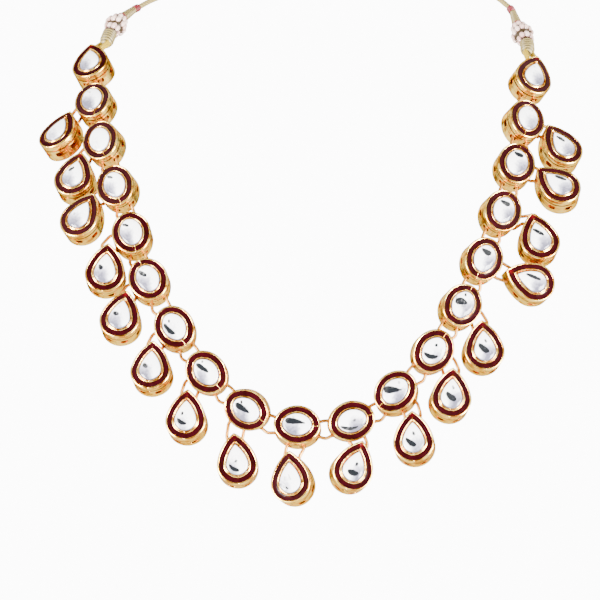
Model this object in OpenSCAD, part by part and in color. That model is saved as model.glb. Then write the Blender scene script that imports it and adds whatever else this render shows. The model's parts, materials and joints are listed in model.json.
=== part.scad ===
// Kundan necklace: a chain of enamelled oval settings with teardrop drops,
// worn round the neck and closed behind by a gold cord.
// Millimetres, +Z up, +X to the viewer's right, the front of the necklace towards -Y.
// The origin is at the nape, on the inner face of the slide bead, where the loop hangs.

/* [Oval settings] */
// Half the length of an oval setting, along the chain
oval_a = 6.85; // [6.4:0.05:7.2]
// Half the width of an oval setting, across the chain
oval_b = 5.85; // [5.4:0.05:6.2]
// Radius of the oval outline's two ends
oval_end_r = 5; // [4.8:0.1:5.2]

/* [Teardrop settings] */
// Radius of the teardrop outline's round bulb
bulb_r = 5.95; // [5.6:0.05:6.2]
// Distance from the bulb's centre to the tip
tip_reach = 9.5; // [9.2:0.1:10]
// Angle on the bulb at which its sides leave for the tip
shoulder = 14; // [10:1:18]

/* [Gallery and cup] */
// Height of the gallery's pierced band, which is centred on the links
gallery_h = 2.8; // [2.6:0.1:3]
// Height of the plain foot behind that band
foot_h = 1.2; // [0:0.1:1.3]
// Height of the groove between gallery and cup
groove_h = 0.3; // [0.2:0.05:0.4]
// Height of the cup that holds enamel and stone
cup_h = 1.9; // [1.7:0.1:2.2]
// Thickness of the gallery's wall
gallery_wall = 0.6; // [0.5:0.05:0.7]
// Depth of the groove
groove_d = 0.25; // [0.15:0.05:0.35]
// Width of the lip that closes in the gallery's back edge
lip_w = 4.2; // [1:0.1:4.5]
// Thickness of that lip
lip_t = 0.4; // [0.3:0.05:0.5]
// Thickness of the gallery's floor that reaches down into it from the groove
floor_t = 0.3; // [0.2:0.05:0.35]
// Width of a window in the gallery
window_w = 2.2; // [2:0.1:2.4]
// Height of a window in the gallery
window_h = 1.5; // [1.4:0.1:1.6]
// Distance of an end window's middle from the oval's long axis
end_window_off = 2.4; // [2.2:0.1:2.6]
// Distance of a side window's middle from the oval's short axis
side_window_off = 2.2; // [2:0.1:2.4]

/* [Enamel and stone] */
// Width of the cup's gold rim
rim_w = 0.5; // [0.4:0.05:0.6]
// Width of the channel that holds the enamel
channel_w = 1.5; // [1.3:0.05:1.6]
// Depth of the channel and of the stone's seat under the rim
channel_d = 1.1; // [0.9:0.1:1.3]
// Width of the foil bezel round an oval stone
oval_bezel_w = 0.4; // [0.3:0.05:0.5]
// Width of the foil bezel round a teardrop stone
drop_bezel_w = 0.75; // [0.6:0.05:0.9]
// Height of the bezel over the rim
bezel_rise = 0.35; // [0.2:0.05:0.5]
// Thickness of the gold seam that crosses the channel
seam_t = 0.25; // [0.2:0.05:0.35]
// Clearance between a teardrop stone or any enamel and the gold around it
fit_gap = 0.05; // [0.05:0.01:0.1]
// Clearance of an oval stone, a true ellipse, at the ends of its two axes
ellipse_gap = 0.12; // [0.1:0.01:0.15]
// Depth of the enamel's face under the rim
enamel_sink = 0.1; // [0.05:0.05:0.2]
// Height of a stone's crown over the rim
stone_rise = 0.95; // [0.7:0.05:1.2]
// Radius of the sphere that shapes a stone's dome
dome_r = 9.5; // [8:0.5:12]
// Distance of a teardrop stone's crown from its bulb's centre, towards the tip
crown_at = 0.8; // [0:0.1:1.2]

/* [Links] */
// Diameter of the link wire
link_wire = 0.65; // [0.5:0.05:0.7]
// Reach of a link inside a gallery, from the middle of its wall
link_hook = 0.95; // [0.9:0.05:1.2]
// Size of the bend at each corner of a link
link_bend = 0.8; // [0.6:0.1:1]
// Most that a drop's link runs straight out of the tip's windows before it turns to the oval
link_rise = 2.3; // [2:0.1:2.6]
// Length it runs straight out of the oval's windows
link_start = 0.7; // [0.6:0.1:0.8]

/* [Cord ends] */
// Thickness of the loop of gold thread that ties each cord end to the chain
tie_thread = 0.8; // [0.6:0.1:0.9]
// Diameter of the thread winding next to the chain
winding_d = 4; // [3.6:0.1:4.4]
// Diameter of the bunch of seed pearls
pearls_d = 6.8; // [6.2:0.1:7.4]
// Diameter of the upper winding where it meets the pearls
taper_d = 3.4; // [3:0.1:3.8]
// Diameter of the upper winding where it meets the cord
taper_end_d = 2.3; // [2.1:0.1:2.6]
// Diameter of the gold cord
cord_d = 1.7; // [1.5:0.1:1.9]
// Diameter of the slide bead at the nape
bead_d = 5; // [4.5:0.1:5.5]
// Length of the slide bead
bead_l = 6; // [5:0.5:7]
// Gap at each end of the windings, bunches and bands, so that they clear where the line bends
joint_gap = 0.2; // [0.1:0.05:0.3]

/* [Hidden] */
$fn = 72;

// Heights in a setting, from the plane of the links at zero
gallery_top = gallery_h / 2;
gallery_low = -gallery_top - foot_h;
cup_low = gallery_top + groove_h;
rim_z = cup_low + cup_h;
seat_z = rim_z - channel_d;
channel_in = rim_w + channel_w;

// Height of the rings that an oval stone's dome is drawn through
ring_t = 0.1;

// Oval outline: its end arcs and side arcs touch at the split
end_at = oval_a - oval_end_r;
side_r = (end_at * end_at + oval_b * oval_b - oval_end_r * oval_end_r) / (2 * (oval_b - oval_end_r));
side_at = side_r - oval_b;

// Teardrop outline: its side arcs leave the bulb at the shoulder
flank_at = (tip_reach * tip_reach - bulb_r * bulb_r) / (2 * (bulb_r - tip_reach * sin(shoulder)));
flank_r = bulb_r + flank_at;
tip_turn = acos(flank_at * cos(shoulder) / flank_r);

// Turns of the windows about their arcs' middles
end_turn = asin(end_window_off / oval_end_r);
side_turn = asin(side_window_off / side_r);
flank_turns = [for (part = [0.25, 0.75]) 90 - tip_turn + part * (tip_turn - shoulder)];
bulb_turns = [105, 156];

// Middles of the window walls that links pass, beside and along the axis they straddle
end_arc = oval_end_r - gallery_wall / 2;
side_arc = side_r - gallery_wall / 2;
flank_arc = flank_r - gallery_wall / 2;
bulb_arc = bulb_r - gallery_wall / 2;
END_HOLE = [end_arc * sin(end_turn), end_arc * cos(end_turn) + end_at];
SIDE_HOLE = [side_arc * sin(side_turn), side_arc * cos(side_turn) - side_at];
TIP_HOLE = [flank_arc * sin(flank_turns[0]) - flank_at * cos(shoulder),
    flank_arc * cos(flank_turns[0]) - flank_at * sin(shoulder)];
BULB_HOLE = [bulb_arc * sin(bulb_turns[1]), -bulb_arc * cos(bulb_turns[1])];

// Where the middle setting stands
MIDDLE_AT = [-3.7, -120, -147];
// Its turn as in the tables below
MIDDLE_TURN = [-5, -4, -17];

// The chain from the middle outward, an oval a row and last the end teardrop.
// A setting's length points outward by heading in the front plane and by recede
// away from the front, roll turns it about its length, and gap parts it from the
// setting before. Its seam is at the outer end, 1, or the inner end, -1.
// Columns: heading, recede, roll, gap, seam
RIGHT_CHAIN = [
    [ 18,  5,  -4, 2.2,  1],
    [ 44,  6, -16, 2.1, -1],
    [ 54, 11,   0, 2.5,  1],
    [ 61, 20,   4, 2.3,  1],
    [ 67, 19,   7, 2.4, -1],
    [ 68, 24,   9, 2.8,  1],
    [ 75, 27,   7, 2.8,  1],
    [ 78, 33,  18, 2.6, -1],
    [ 77, 38,  14, 3.2,  1],
];
LEFT_CHAIN = [
    [146,  6,   2, 2.2, -1],
    [131,  9,  -3, 2.3, -1],
    [122, 15,  -5, 2.5, -1],
    [117, 21,  -4, 3.0,  1],
    [106, 23,  -2, 2.2, -1],
    [110, 26,   7, 2.8, -1],
    [107, 32,  14, 2.9, -1],
    [102, 39,  12, 2.0, -1],
    [ 92, 45,  18, 2.9,  1],
];

// The drops, each hung from the outer side of its oval by a gap, and slipped
// along the oval's length. A drop's length points from bulb to tip.
// Columns: heading, recede, roll, gap, slip
MIDDLE_DROP = [93, 16, -14, 1.8, -1];
RIGHT_DROPS = [
    [ 71, 17,   5, 0.9,  1.0],
    [ 92, 18,  -6, 1.9,  0],
    [ 85, 21,   4, 2.3,  0],
    [ 94, 18,   8, 1.8,  0],
    [157, -4,  18, 1.6, -0.1],
    [106, 22,  12, 3.4,  4.9],
    [141, 19,  26, 1.2,  0.7],
    [123, 22,  30, 1.6,  1.5],
];
LEFT_DROPS = [
    [ 97, 15,   0, 2.6,  0],
    [ 87, 19,   6, 1.9,  0],
    [ 86, 25,   8, 1.8,  0],
    [ 77, 25,  10, 1.6,  0],
    [ 85, 20,   3, 2.0,  0],
    [ 60, 17,  26, 1.0,  0.5],
    [ 75, 27,  18, 1.8,  0],
    [ 62, 31,  42, 1.6, -1],
];

// Ends of the pieces between the chain and the cord, from the chain upward:
// the lower winding's foot, its head, the pearls' head, the upper winding's head
// and the red band's head, where the cord starts
LEFT_END = [[-64, -57.5, -30.5], [-62.7, -53, -26], [-59.6, -47, -21], [-56, -41, -17.5], [-54.5, -39, -16.5]];
RIGHT_END = [[67.5, -67, -34], [67.6, -62, -30], [65.5, -53, -24], [64.4, -47, -19], [63.5, -45, -17.2]];

// Middle line of the cord, round the back of the neck from left to right
CORD_ROUTE = [
    LEFT_END[4], [-50.5, -32.5, -13.5], [-45, -24.5, -10.5], [-38.5, -16.5, -7.8], [-31, -10, -5.4],
    [-23, -4.5, -3.2], [-15, -0.5, -1.5], [-8, 1.8, -0.4], [-3.5, 2.5, 0], [3.5, 2.5, 0], [8, 1.8, -0.2],
    [15, -0.3, -0.8], [23, -4, -1.8], [31, -9, -3], [39, -15.5, -4.6], [46.5, -23, -6.6],
    [53, -30.5, -9.2], [59, -37.6, -12.6], RIGHT_END[4],
];

function unit(v) = v / norm(v);
function square_to(v, axis) = unit(v - axis * (v * axis));

// A place is its middle, its length axis, its outward side axis, its face normal,
// its kind and the end with the seam. Side is 1 right of the middle and -1 left of it.
function place(at, turn, side, kind, seam) =
    let (
        along = [cos(turn[0]) * cos(turn[1]), sin(turn[1]), sin(turn[0]) * cos(turn[1])],
        front = square_to([0, -1, 0], along),
        across = side * cross(along, front),
        normal = cos(turn[2]) * front + sin(turn[2]) * across
    )
    [at, along, side * cross(along, normal), normal, kind, seam];

MIDDLE = place(MIDDLE_AT, MIDDLE_TURN, 1, "oval", 1);

// The settings of one side from row i on: each starts where the one before ends, plus the gap
function chain(table, side, i, end, dir) =
    i == len(table) ? [] :
    let (
        kind = i == len(table) - 1 ? "teardrop" : "oval",
        row = table[i],
        turned = place([0, 0, 0], row, side, kind, row[4]),
        inner = kind == "oval" ? oval_a : bulb_r,
        at = end + row[3] * unit(dir + turned[1]) + inner * turned[1]
    )
    concat(
        [place(at, row, side, kind, row[4])],
        chain(table, side, i + 1, at + oval_a * turned[1], turned[1])
    );

// A drop hangs from the outer side of its oval, with its tip towards it
function hung(parent, row, side) =
    let (
        turned = place([0, 0, 0], row, side, "teardrop", 1),
        anchor = parent[0] + oval_b * parent[2] + row[4] * parent[1],
        away = unit(parent[2] - turned[1])
    )
    place(anchor + row[3] * away - tip_reach * turned[1], row, side, "teardrop", 1);

RIGHT = chain(RIGHT_CHAIN, 1, 0, MIDDLE[0] + oval_a * MIDDLE[1], MIDDLE[1]);
LEFT = chain(LEFT_CHAIN, -1, 0, MIDDLE[0] - oval_a * MIDDLE[1], -MIDDLE[1]);
CHAIN = concat([MIDDLE], RIGHT, LEFT);
DROP_MIDDLE = hung(MIDDLE, MIDDLE_DROP, 1);
DROPS_RIGHT = [for (i = [0:7]) hung(RIGHT[i], RIGHT_DROPS[i], 1)];
DROPS_LEFT = [for (i = [0:7]) hung(LEFT[i], LEFT_DROPS[i], -1)];
DROPS = concat([DROP_MIDDLE], DROPS_RIGHT, DROPS_LEFT);

// Moves children from their own frame, length along X and face towards Z, to a place
module at_place(p) {
    side = cross(p[3], p[1]);
    multmatrix([for (i = [0:2]) [p[1][i], side[i], p[3][i], p[0][i]]]) children();
}

// Moves children that stand on the origin along Z to stand on one point and look at another
module from_to(foot, head) {
    z = unit(head - foot);
    x = square_to([0, 0, 1], z);
    y = cross(z, x);
    multmatrix([for (i = [0:2]) [x[i], y[i], z[i], foot[i]]]) children();
}

// Outline of an oval, drawn inside the setting's edge by an inset: two side arcs
// between splits, and a round at each end
module oval(inset) {
    split = (side_r - inset) * end_at / (side_r - oval_end_r);
    intersection() {
        translate([0, -side_at]) circle(side_r - inset);
        translate([0, side_at]) circle(side_r - inset);
        square([2 * split, 4 * oval_b], center = true);
    }
    for (end = [-1, 1]) translate([end * end_at, 0]) circle(oval_end_r - inset);
}

// Outline of a teardrop with its tip along X: a bulb, and two flanks that meet at the tip
module teardrop(inset) {
    circle(bulb_r - inset);
    intersection() {
        translate([-flank_at * sin(shoulder), -flank_at * cos(shoulder)]) circle(flank_r - inset);
        translate([-flank_at * sin(shoulder), flank_at * cos(shoulder)]) circle(flank_r - inset);
        translate([(bulb_r - inset) * sin(shoulder), -2 * bulb_r]) square(4 * bulb_r);
    }
}

// A flat layer of a setting's outline between two heights
module layer(kind, inset, low, high) {
    translate([0, 0, low]) linear_extrude(high - low)
        if (kind == "oval") oval(inset); else teardrop(inset);
}

// A bar across the channel at the seam's end
module seam_bar(kind, seam, width) {
    outer = kind == "oval" ? oval_a : tip_reach;
    translate([seam * (outer - channel_in), 0, rim_z - channel_d])
        cube([2 * channel_in + rim_w, width, 3 * channel_d], center = true);
}

// A window through the gallery's wall, whose middle is on X at a radius
module window(radius) {
    translate([radius, 0, 0]) cube([4 * gallery_wall, window_w, window_h], center = true);
}

module oval_windows() {
    for (end = [0, 180], hand = [-1, 1]) {
        rotate(end) translate([end_at, 0]) rotate(hand * end_turn) window(oval_end_r);
        rotate(end) translate([0, -side_at]) rotate(90 + hand * side_turn) window(side_r);
    }
}

module teardrop_windows() {
    for (hand = [-1, 1]) {
        for (turn = flank_turns)
            translate([-flank_at * sin(shoulder), -hand * flank_at * cos(shoulder)])
                rotate(hand * turn) window(flank_r);
        for (turn = bulb_turns) rotate(hand * turn) window(bulb_r);
    }
}

// One soldered gold setting: an open gallery with windows, a groove, and a cup with
// a channel for enamel and a raised bezel round the stone's seat
module setting(kind, seam) {
    bezel_w = kind == "oval" ? oval_bezel_w : drop_bezel_w;
    color("gold") difference() {
        union() {
            layer(kind, groove_d, gallery_low, rim_z);
            layer(kind, 0, gallery_low, gallery_top);
            layer(kind, 0, cup_low, rim_z);
            layer(kind, channel_in, seat_z, rim_z + bezel_rise);
        }
        layer(kind, lip_w, gallery_low - lip_t, gallery_low + lip_t);
        layer(kind, gallery_wall, gallery_low + lip_t, gallery_top - floor_t);
        difference() {
            layer(kind, rim_w, seat_z, rim_z + cup_h);
            layer(kind, channel_in, gallery_top, rim_z + 2 * cup_h);
            seam_bar(kind, seam, seam_t);
        }
        layer(kind, channel_in + bezel_w, seat_z, rim_z + cup_h);
        if (kind == "oval") oval_windows(); else teardrop_windows();
    }
}

// The enamel that fills a setting's channel up to its seam
module enamel(kind, seam) {
    color("maroon") difference() {
        layer(kind, rim_w + fit_gap, seat_z + fit_gap, rim_z - enamel_sink);
        layer(kind, channel_in - fit_gap, seat_z - cup_h, rim_z + cup_h);
        seam_bar(kind, seam, seam_t + 2 * fit_gap);
    }
}

// A low domed oval stone: the hull of a foot and of rings on the dome, each a share of its size
module oval_stone() {
    inset = channel_in + oval_bezel_w + ellipse_gap;
    dome_z = rim_z + stone_rise - dome_r;
    hull() for (ring = [[1, seat_z + fit_gap], for (share = [1, 0.7, 0.35])
        [share, dome_z + sqrt(dome_r * dome_r - pow(share * (oval_b - inset), 2)) - ring_t]])
        translate([0, 0, ring[1]]) scale([ring[0] * (oval_a - inset), ring[0] * (oval_b - inset), ring_t])
            cylinder(r = 1, h = 1, $fn = 24);
}

// A low domed teardrop stone, cut to its dome by a sphere
module teardrop_stone() {
    intersection() {
        translate([0, 0, seat_z + fit_gap]) linear_extrude(channel_d + stone_rise)
            teardrop(channel_in + drop_bezel_w + fit_gap);
        translate([crown_at, 0, rim_z + stone_rise - dome_r]) rotate([90, 0, 0]) sphere(dome_r);
    }
}

module stone(kind) {
    color("lightgray") if (kind == "oval") oval_stone(); else teardrop_stone();
}

// A tube of even sides round a line of points, closed to a ring or capped at both ends.
// Up is any direction that the line never follows
module tube(points, d, sides, closed, up) {
    n = len(points);
    function before(i) = points[closed ? (i + n - 1) % n : max(i - 1, 0)];
    function after(i) = points[closed ? (i + 1) % n : min(i + 1, n - 1)];
    rings = [for (i = [0:n - 1])
        let (
            t = unit(after(i) - before(i)),
            x = square_to(up, t),
            y = cross(t, x)
        )
        for (s = [0:sides - 1])
            points[i] + d / 2 * (cos(360 * s / sides) * x + sin(360 * s / sides) * y)];
    walls = [for (i = [0:(closed ? n : n - 1) - 1], s = [0:sides - 1])
        let (j = (i + 1) % n, r = (s + 1) % sides)
        [i * sides + s, j * sides + s, j * sides + r, i * sides + r]];
    caps = closed ? [] : [
        [for (s = [0:sides - 1]) s],
        [for (s = [sides - 1:-1:0]) (n - 1) * sides + s],
    ];
    polyhedron(rings, concat(walls, caps));
}

// Three points of a bend that rounds a corner between the points before and after it
function bend(before, corner, after) =
    let (
        size = min(link_bend, 0.45 * norm(before - corner), 0.45 * norm(after - corner)),
        start = corner + size * unit(before - corner),
        end = corner + size * unit(after - corner)
    )
    [for (t = [0, 0.5, 1]) (1 - t) * (1 - t) * start + 2 * t * (1 - t) * corner + t * t * end];

// Closed line with a bend at each corner
function rounded(corners) =
    let (n = len(corners))
    [for (k = [0:n - 1]) each bend(corners[(k + n - 1) % n], corners[k], corners[(k + 1) % n])];

// The pair of window middles on a place's own axis: dir picks the way along it
function end_holes(p, dir) =
    [for (hand = [-1, 1]) p[0] + dir * END_HOLE[1] * p[1] + hand * END_HOLE[0] * p[2]];
function side_holes(p) = [for (hand = [-1, 1]) p[0] + SIDE_HOLE[1] * p[2] + hand * SIDE_HOLE[0] * p[1]];
function tip_holes(p) = [for (hand = [-1, 1]) p[0] + TIP_HOLE[1] * p[1] + hand * TIP_HOLE[0] * p[2]];
function bulb_holes(p) = [for (hand = [-1, 1]) p[0] - BULB_HOLE[1] * p[1] + hand * BULB_HOLE[0] * p[2]];

// A wire link from one oval to the next setting, straight through both pairs of windows
module chain_link(a, b, dir) {
    foot = end_holes(a, dir);
    head = b[4] == "oval" ? end_holes(b, -1) : bulb_holes(b);
    run = [for (k = [0, 1]) link_hook * unit(head[k] - foot[k])];
    color("gold") tube(
        rounded([foot[0] - run[0], head[0] + run[0], head[1] + run[1], foot[1] - run[1]]),
        link_wire, 6, true, a[3] + b[3]
    );
}

// A wire link from an oval's side to the tip of its drop. Each of its sides leaves
// both walls straight, and a side that has to cross over a turned tip runs on first
module drop_link(parent, drop) {
    foot = side_holes(parent);
    head = tip_holes(drop);
    half = [for (k = [0, 1])
        let (
            crossing = (1 - 2 * k) * (foot[k] - head[k]) * drop[2],
            rise = min(max(crossing, 0.5), link_rise)
        )
        [
            foot[k] - link_hook * parent[2], foot[k] + link_start * parent[2],
            head[k] + rise * drop[1], head[k] - link_hook * drop[1],
        ]];
    color("gold") tube(
        rounded(concat(half[0], [for (i = [3:-1:0]) half[1][i]])),
        link_wire, 6, true, parent[3] + drop[3]
    );
}

// The thread loop from the end teardrop's tip windows to the foot of the winding
module tie(end, foot) {
    near = foot - tie_thread / 2 * unit(foot - end[0]);
    head = tip_holes(end);
    knee = [for (h = head) h + link_rise * end[1]];
    color("goldenrod") tube(
        rounded([
            near - tie_thread * end[2], knee[0], head[0] - link_hook * end[1],
            head[1] - link_hook * end[1], knee[1], near + tie_thread * end[2],
        ]),
        tie_thread, 8, true, end[3]
    );
}

// A round winding whose two ends may differ in diameter, with its rims eased
module winding(foot, head, foot_d, head_d, ease) {
    l = norm(head - foot) - joint_gap;
    from_to(foot, head) rotate_extrude() polygon([
        [0, joint_gap], [foot_d / 2 - ease, joint_gap], [foot_d / 2, joint_gap + ease],
        [head_d / 2, l - ease], [head_d / 2 - ease, l], [0, l],
    ]);
}

// The outer form of the bunch of seed pearls: a barrel that swells from neck to middle
module pearl_bunch(foot, head) {
    l = norm(head - foot) - 2 * joint_gap;
    neck_r = 1.5;
    color("mistyrose") from_to(foot, head) translate([0, 0, joint_gap]) rotate_extrude() polygon(concat(
        [[0, 0]],
        [for (t = [0:15:180]) [neck_r + (pearls_d / 2 - neck_r) * pow(sin(t), 0.7), l * (1 - cos(t)) / 2]],
        [[0, l]]
    ));
}

// The bead that slides on the cord and closes the loop
module slide_bead() {
    bore_r = cord_d / 2 + 0.15;
    color("goldenrod") translate([-bead_l / 2, bead_d / 2, 0]) rotate([0, 90, 0]) rotate_extrude() difference() {
        intersection() {
            translate([0, bead_l / 2]) circle(bead_l / 2 + 0.6);
            square([bead_d / 2, bead_l]);
        }
        square([bore_r, bead_l]);
    }
}

module neck_cord() {
    color("khaki") tube(CORD_ROUTE, cord_d, 8, false, [0, 0, 1]);
}

module case_at(p) { at_place(p) setting(p[4], p[5]); }
module stones(places) { for (p = places) at_place(p) stone(p[4]); }
module enamels(places) { for (p = places) at_place(p) enamel(p[4], p[5]); }

module chain_links() {
    for (side = [-1, 1]) {
        row = side == 1 ? RIGHT : LEFT;
        chain_link(MIDDLE, row[0], side);
        for (i = [1:len(row) - 1]) chain_link(row[i - 1], row[i], 1);
    }
}

module drop_links() {
    drop_link(MIDDLE, DROP_MIDDLE);
    for (i = [0:7]) {
        drop_link(RIGHT[i], DROPS_RIGHT[i]);
        drop_link(LEFT[i], DROPS_LEFT[i]);
    }
}

case_at(MIDDLE);  // case_middle
for (i = [1:9]) {
    case_at(RIGHT[i - 1]);
    case_at(LEFT[i - 1]);
}
case_at(DROP_MIDDLE);  // drop_middle
for (i = [1:8]) {
    case_at(DROPS_RIGHT[i - 1]);
    case_at(DROPS_LEFT[i - 1]);
}
stones(CHAIN);  // chain_stones
stones(DROPS);  // drop_stones
enamels(CHAIN);  // chain_enamel
enamels(DROPS);  // drop_enamel
chain_links();
drop_links();
tie(LEFT[8], LEFT_END[0]);  // tie_left
tie(RIGHT[8], RIGHT_END[0]);  // tie_right
color("khaki") winding(LEFT_END[0], LEFT_END[1], winding_d, winding_d, 0.5);  // winding_left
color("khaki") winding(RIGHT_END[0], RIGHT_END[1], winding_d, winding_d, 0.5);  // winding_right
pearl_bunch(LEFT_END[1], LEFT_END[2]);  // pearls_left
pearl_bunch(RIGHT_END[1], RIGHT_END[2]);  // pearls_right
color("khaki") winding(LEFT_END[2], LEFT_END[3], taper_d, taper_end_d, 0.2);  // taper_left
color("khaki") winding(RIGHT_END[2], RIGHT_END[3], taper_d, taper_end_d, 0.2);  // taper_right
color("crimson") winding(LEFT_END[3], LEFT_END[4], taper_end_d + 0.2, taper_end_d + 0.2, 0.3);  // red_band_left
color("crimson") winding(RIGHT_END[3], RIGHT_END[4], taper_end_d + 0.2, taper_end_d + 0.2, 0.3);  // red_band_right
neck_cord();
slide_bead();
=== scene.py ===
"""Looks of the kundan necklace: enamelled settings with white stones, hung on a gold cord.

Shapes are worked out in millimetres in the row frame and turned to metres when a mesh is
made. Every setting is drawn in a frame of its own, read from its solid: length along X,
across along Y and face towards Z, with the links' plane at zero.
"""

from __future__ import annotations

import json
import logging
import math
from dataclasses import dataclass, field
from enum import Enum

import bpy
import numpy as np
from mathutils import Matrix

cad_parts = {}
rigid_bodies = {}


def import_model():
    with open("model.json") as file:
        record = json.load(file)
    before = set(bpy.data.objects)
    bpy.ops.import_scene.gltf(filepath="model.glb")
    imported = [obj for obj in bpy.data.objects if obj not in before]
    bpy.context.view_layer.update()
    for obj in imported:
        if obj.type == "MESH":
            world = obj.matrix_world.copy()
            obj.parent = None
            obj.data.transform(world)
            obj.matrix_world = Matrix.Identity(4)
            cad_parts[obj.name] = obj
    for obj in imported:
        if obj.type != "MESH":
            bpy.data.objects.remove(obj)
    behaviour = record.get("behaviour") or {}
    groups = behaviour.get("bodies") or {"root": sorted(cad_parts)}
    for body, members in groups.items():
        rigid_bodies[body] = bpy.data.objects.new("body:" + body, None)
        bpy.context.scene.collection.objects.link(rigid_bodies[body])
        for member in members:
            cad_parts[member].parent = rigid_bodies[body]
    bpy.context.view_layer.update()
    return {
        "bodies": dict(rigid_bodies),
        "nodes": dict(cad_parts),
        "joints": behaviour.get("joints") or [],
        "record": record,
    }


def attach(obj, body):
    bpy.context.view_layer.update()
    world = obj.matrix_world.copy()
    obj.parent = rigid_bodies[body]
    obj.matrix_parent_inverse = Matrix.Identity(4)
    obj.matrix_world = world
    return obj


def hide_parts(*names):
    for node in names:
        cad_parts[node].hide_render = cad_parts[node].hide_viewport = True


LOG = logging.getLogger("necklace")
MM = 0.001
TURN = 2 * math.pi
FRONT = np.array([0.0, -1.0, 0.0])
# Ovals on each side of the middle one, each with a drop under it
SIDE_OVALS = 8
# How far a solid's corner may lie from where it is looked for, in millimetres
SLACK = 0.03


class Kind(Enum):
    """The two forms of setting."""

    OVAL = "oval"
    TEARDROP = "teardrop"


def unit(v: np.ndarray) -> np.ndarray:
    """Vectors along the last axis, brought to length one."""
    return v / np.linalg.norm(v, axis=-1, keepdims=True)


def square_to(v: np.ndarray, axis: np.ndarray) -> np.ndarray:
    """The part of v that is square to axis, brought to length one."""
    return unit(v - axis * np.sum(v * axis, axis=-1, keepdims=True))


def linear(colour: str) -> tuple[float, float, float, float]:
    """Turns an sRGB colour to a linear one.

    Args:
        colour: A hash mark and six hex digits.

    Returns:
        Linear red, green and blue, and an alpha of one.
    """
    part = np.array([int(colour[i : i + 2], 16) for i in (1, 3, 5)]) / 255
    value = np.where(part <= 0.04045, part / 12.92, ((part + 0.055) / 1.055) ** 2.4)
    return (*value.tolist(), 1.0)


def waver(turn: np.ndarray, seed: float, size: float) -> np.ndarray:
    """The unevenness of handwork: size times a sum of four waves round the outline.

    Args:
        turn: Angle round the outline.
        seed: Number that sets the waves' phases.
        size: Rough height of the waves in millimetres.

    Returns:
        The wave's height at each angle.
    """
    waves = [np.sin(k * turn + seed * (k + 1.7)) / (1 + 0.12 * k) for k in (3, 5, 8, 13)]
    return size * 0.5 * sum(waves)


# Shells and pieces


@dataclass
class Shell:
    """Vertices and faces of closed surfaces, with a few values kept at each vertex."""

    points: np.ndarray
    quads: np.ndarray = field(default_factory=lambda: np.zeros((0, 4), int))
    triangles: np.ndarray = field(default_factory=lambda: np.zeros((0, 3), int))
    marks: dict[str, np.ndarray] = field(default_factory=dict)

    def volume(self) -> float:
        """Volume inside: a sixth of the sum of the faces' triple products.

        Returns:
            Cubic millimetres, below zero where the faces point inwards.
        """
        q, t, p = self.quads, self.triangles, self.points - self.points.mean(0)
        faces = np.concatenate([q[:, [0, 1, 2]], q[:, [0, 2, 3]], t])
        a, b, c = p[faces[:, 0]], p[faces[:, 1]], p[faces[:, 2]]
        return float(np.sum(a * np.cross(b, c))) / 6

    def outward(self) -> Shell:
        """Turns the faces outwards.

        Returns:
            The same shell.
        """
        if self.volume() < 0:
            self.quads, self.triangles = self.quads[:, ::-1], self.triangles[:, ::-1]
        return self

    def marked(self, **marks: np.ndarray | float) -> Shell:
        """Keeps values at the vertices.

        Args:
            marks: By name, one value for all, one for each vertex, or three for each.

        Returns:
            The same shell.
        """
        for name, value in marks.items():
            value = np.asarray(value, float)
            wide = value.shape[-1:] == (3,) and value.ndim > 0
            shape = (len(self.points), 3) if wide else (len(self.points),)
            self.marks[name] = np.broadcast_to(value, shape)
        return self

    @staticmethod
    def joined(shells: list[Shell]) -> Shell:
        """Joins several shells.

        Args:
            shells: Shells that carry the same marks.

        Returns:
            One shell that holds them all.
        """
        starts = np.cumsum([0] + [len(s.points) for s in shells[:-1]])
        return Shell(
            np.concatenate([s.points for s in shells]),
            np.concatenate([s.quads + n for s, n in zip(shells, starts)]),
            np.concatenate([s.triangles + n for s, n in zip(shells, starts)]),
            {k: np.concatenate([s.marks[k] for s in shells]) for k in shells[0].marks},
        )


def grid_quads(rows: int, columns: int, ring_rows: bool, ring_columns: bool) -> np.ndarray:
    """Faces of a grid of points, closed to a ring along either of its two ways.

    Args:
        rows: Number of rows.
        columns: Number of points in a row.
        ring_rows: Whether the last row joins the first one.
        ring_columns: Whether a row's last point joins its first one.

    Returns:
        Four point numbers for each face.
    """
    i = np.arange(rows if ring_rows else rows - 1)[:, None]
    j = np.arange(columns if ring_columns else columns - 1)[None, :]
    i2, j2 = (i + 1) % rows, (j + 1) % columns
    corners = [i * columns + j, i2 * columns + j, i2 * columns + j2, i * columns + j2]
    return np.stack([c.ravel() for c in np.broadcast_arrays(*corners)], axis=1)


def sleeve(rings: np.ndarray, closed: bool) -> Shell:
    """A surface through rings of points: closed to a ring itself, or capped at both ends.

    Args:
        rings: Points by ring, by place round the ring, by axis.
        closed: Whether the last ring joins the first one.

    Returns:
        The closed surface.
    """
    n, m = rings.shape[:2]
    points = rings.reshape(-1, 3)
    quads = grid_quads(n, m, closed, True)
    if closed:
        return Shell(points, quads).outward()
    j = np.arange(m)
    ends = np.stack([rings[0].mean(0), rings[-1].mean(0)])
    foot = np.stack([np.full(m, n * m), j, (j + 1) % m], axis=1)
    head = np.stack([np.full(m, n * m + 1), (n - 1) * m + (j + 1) % m, (n - 1) * m + j], axis=1)
    return Shell(np.concatenate([points, ends]), quads, np.concatenate([foot, head])).outward()


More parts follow.
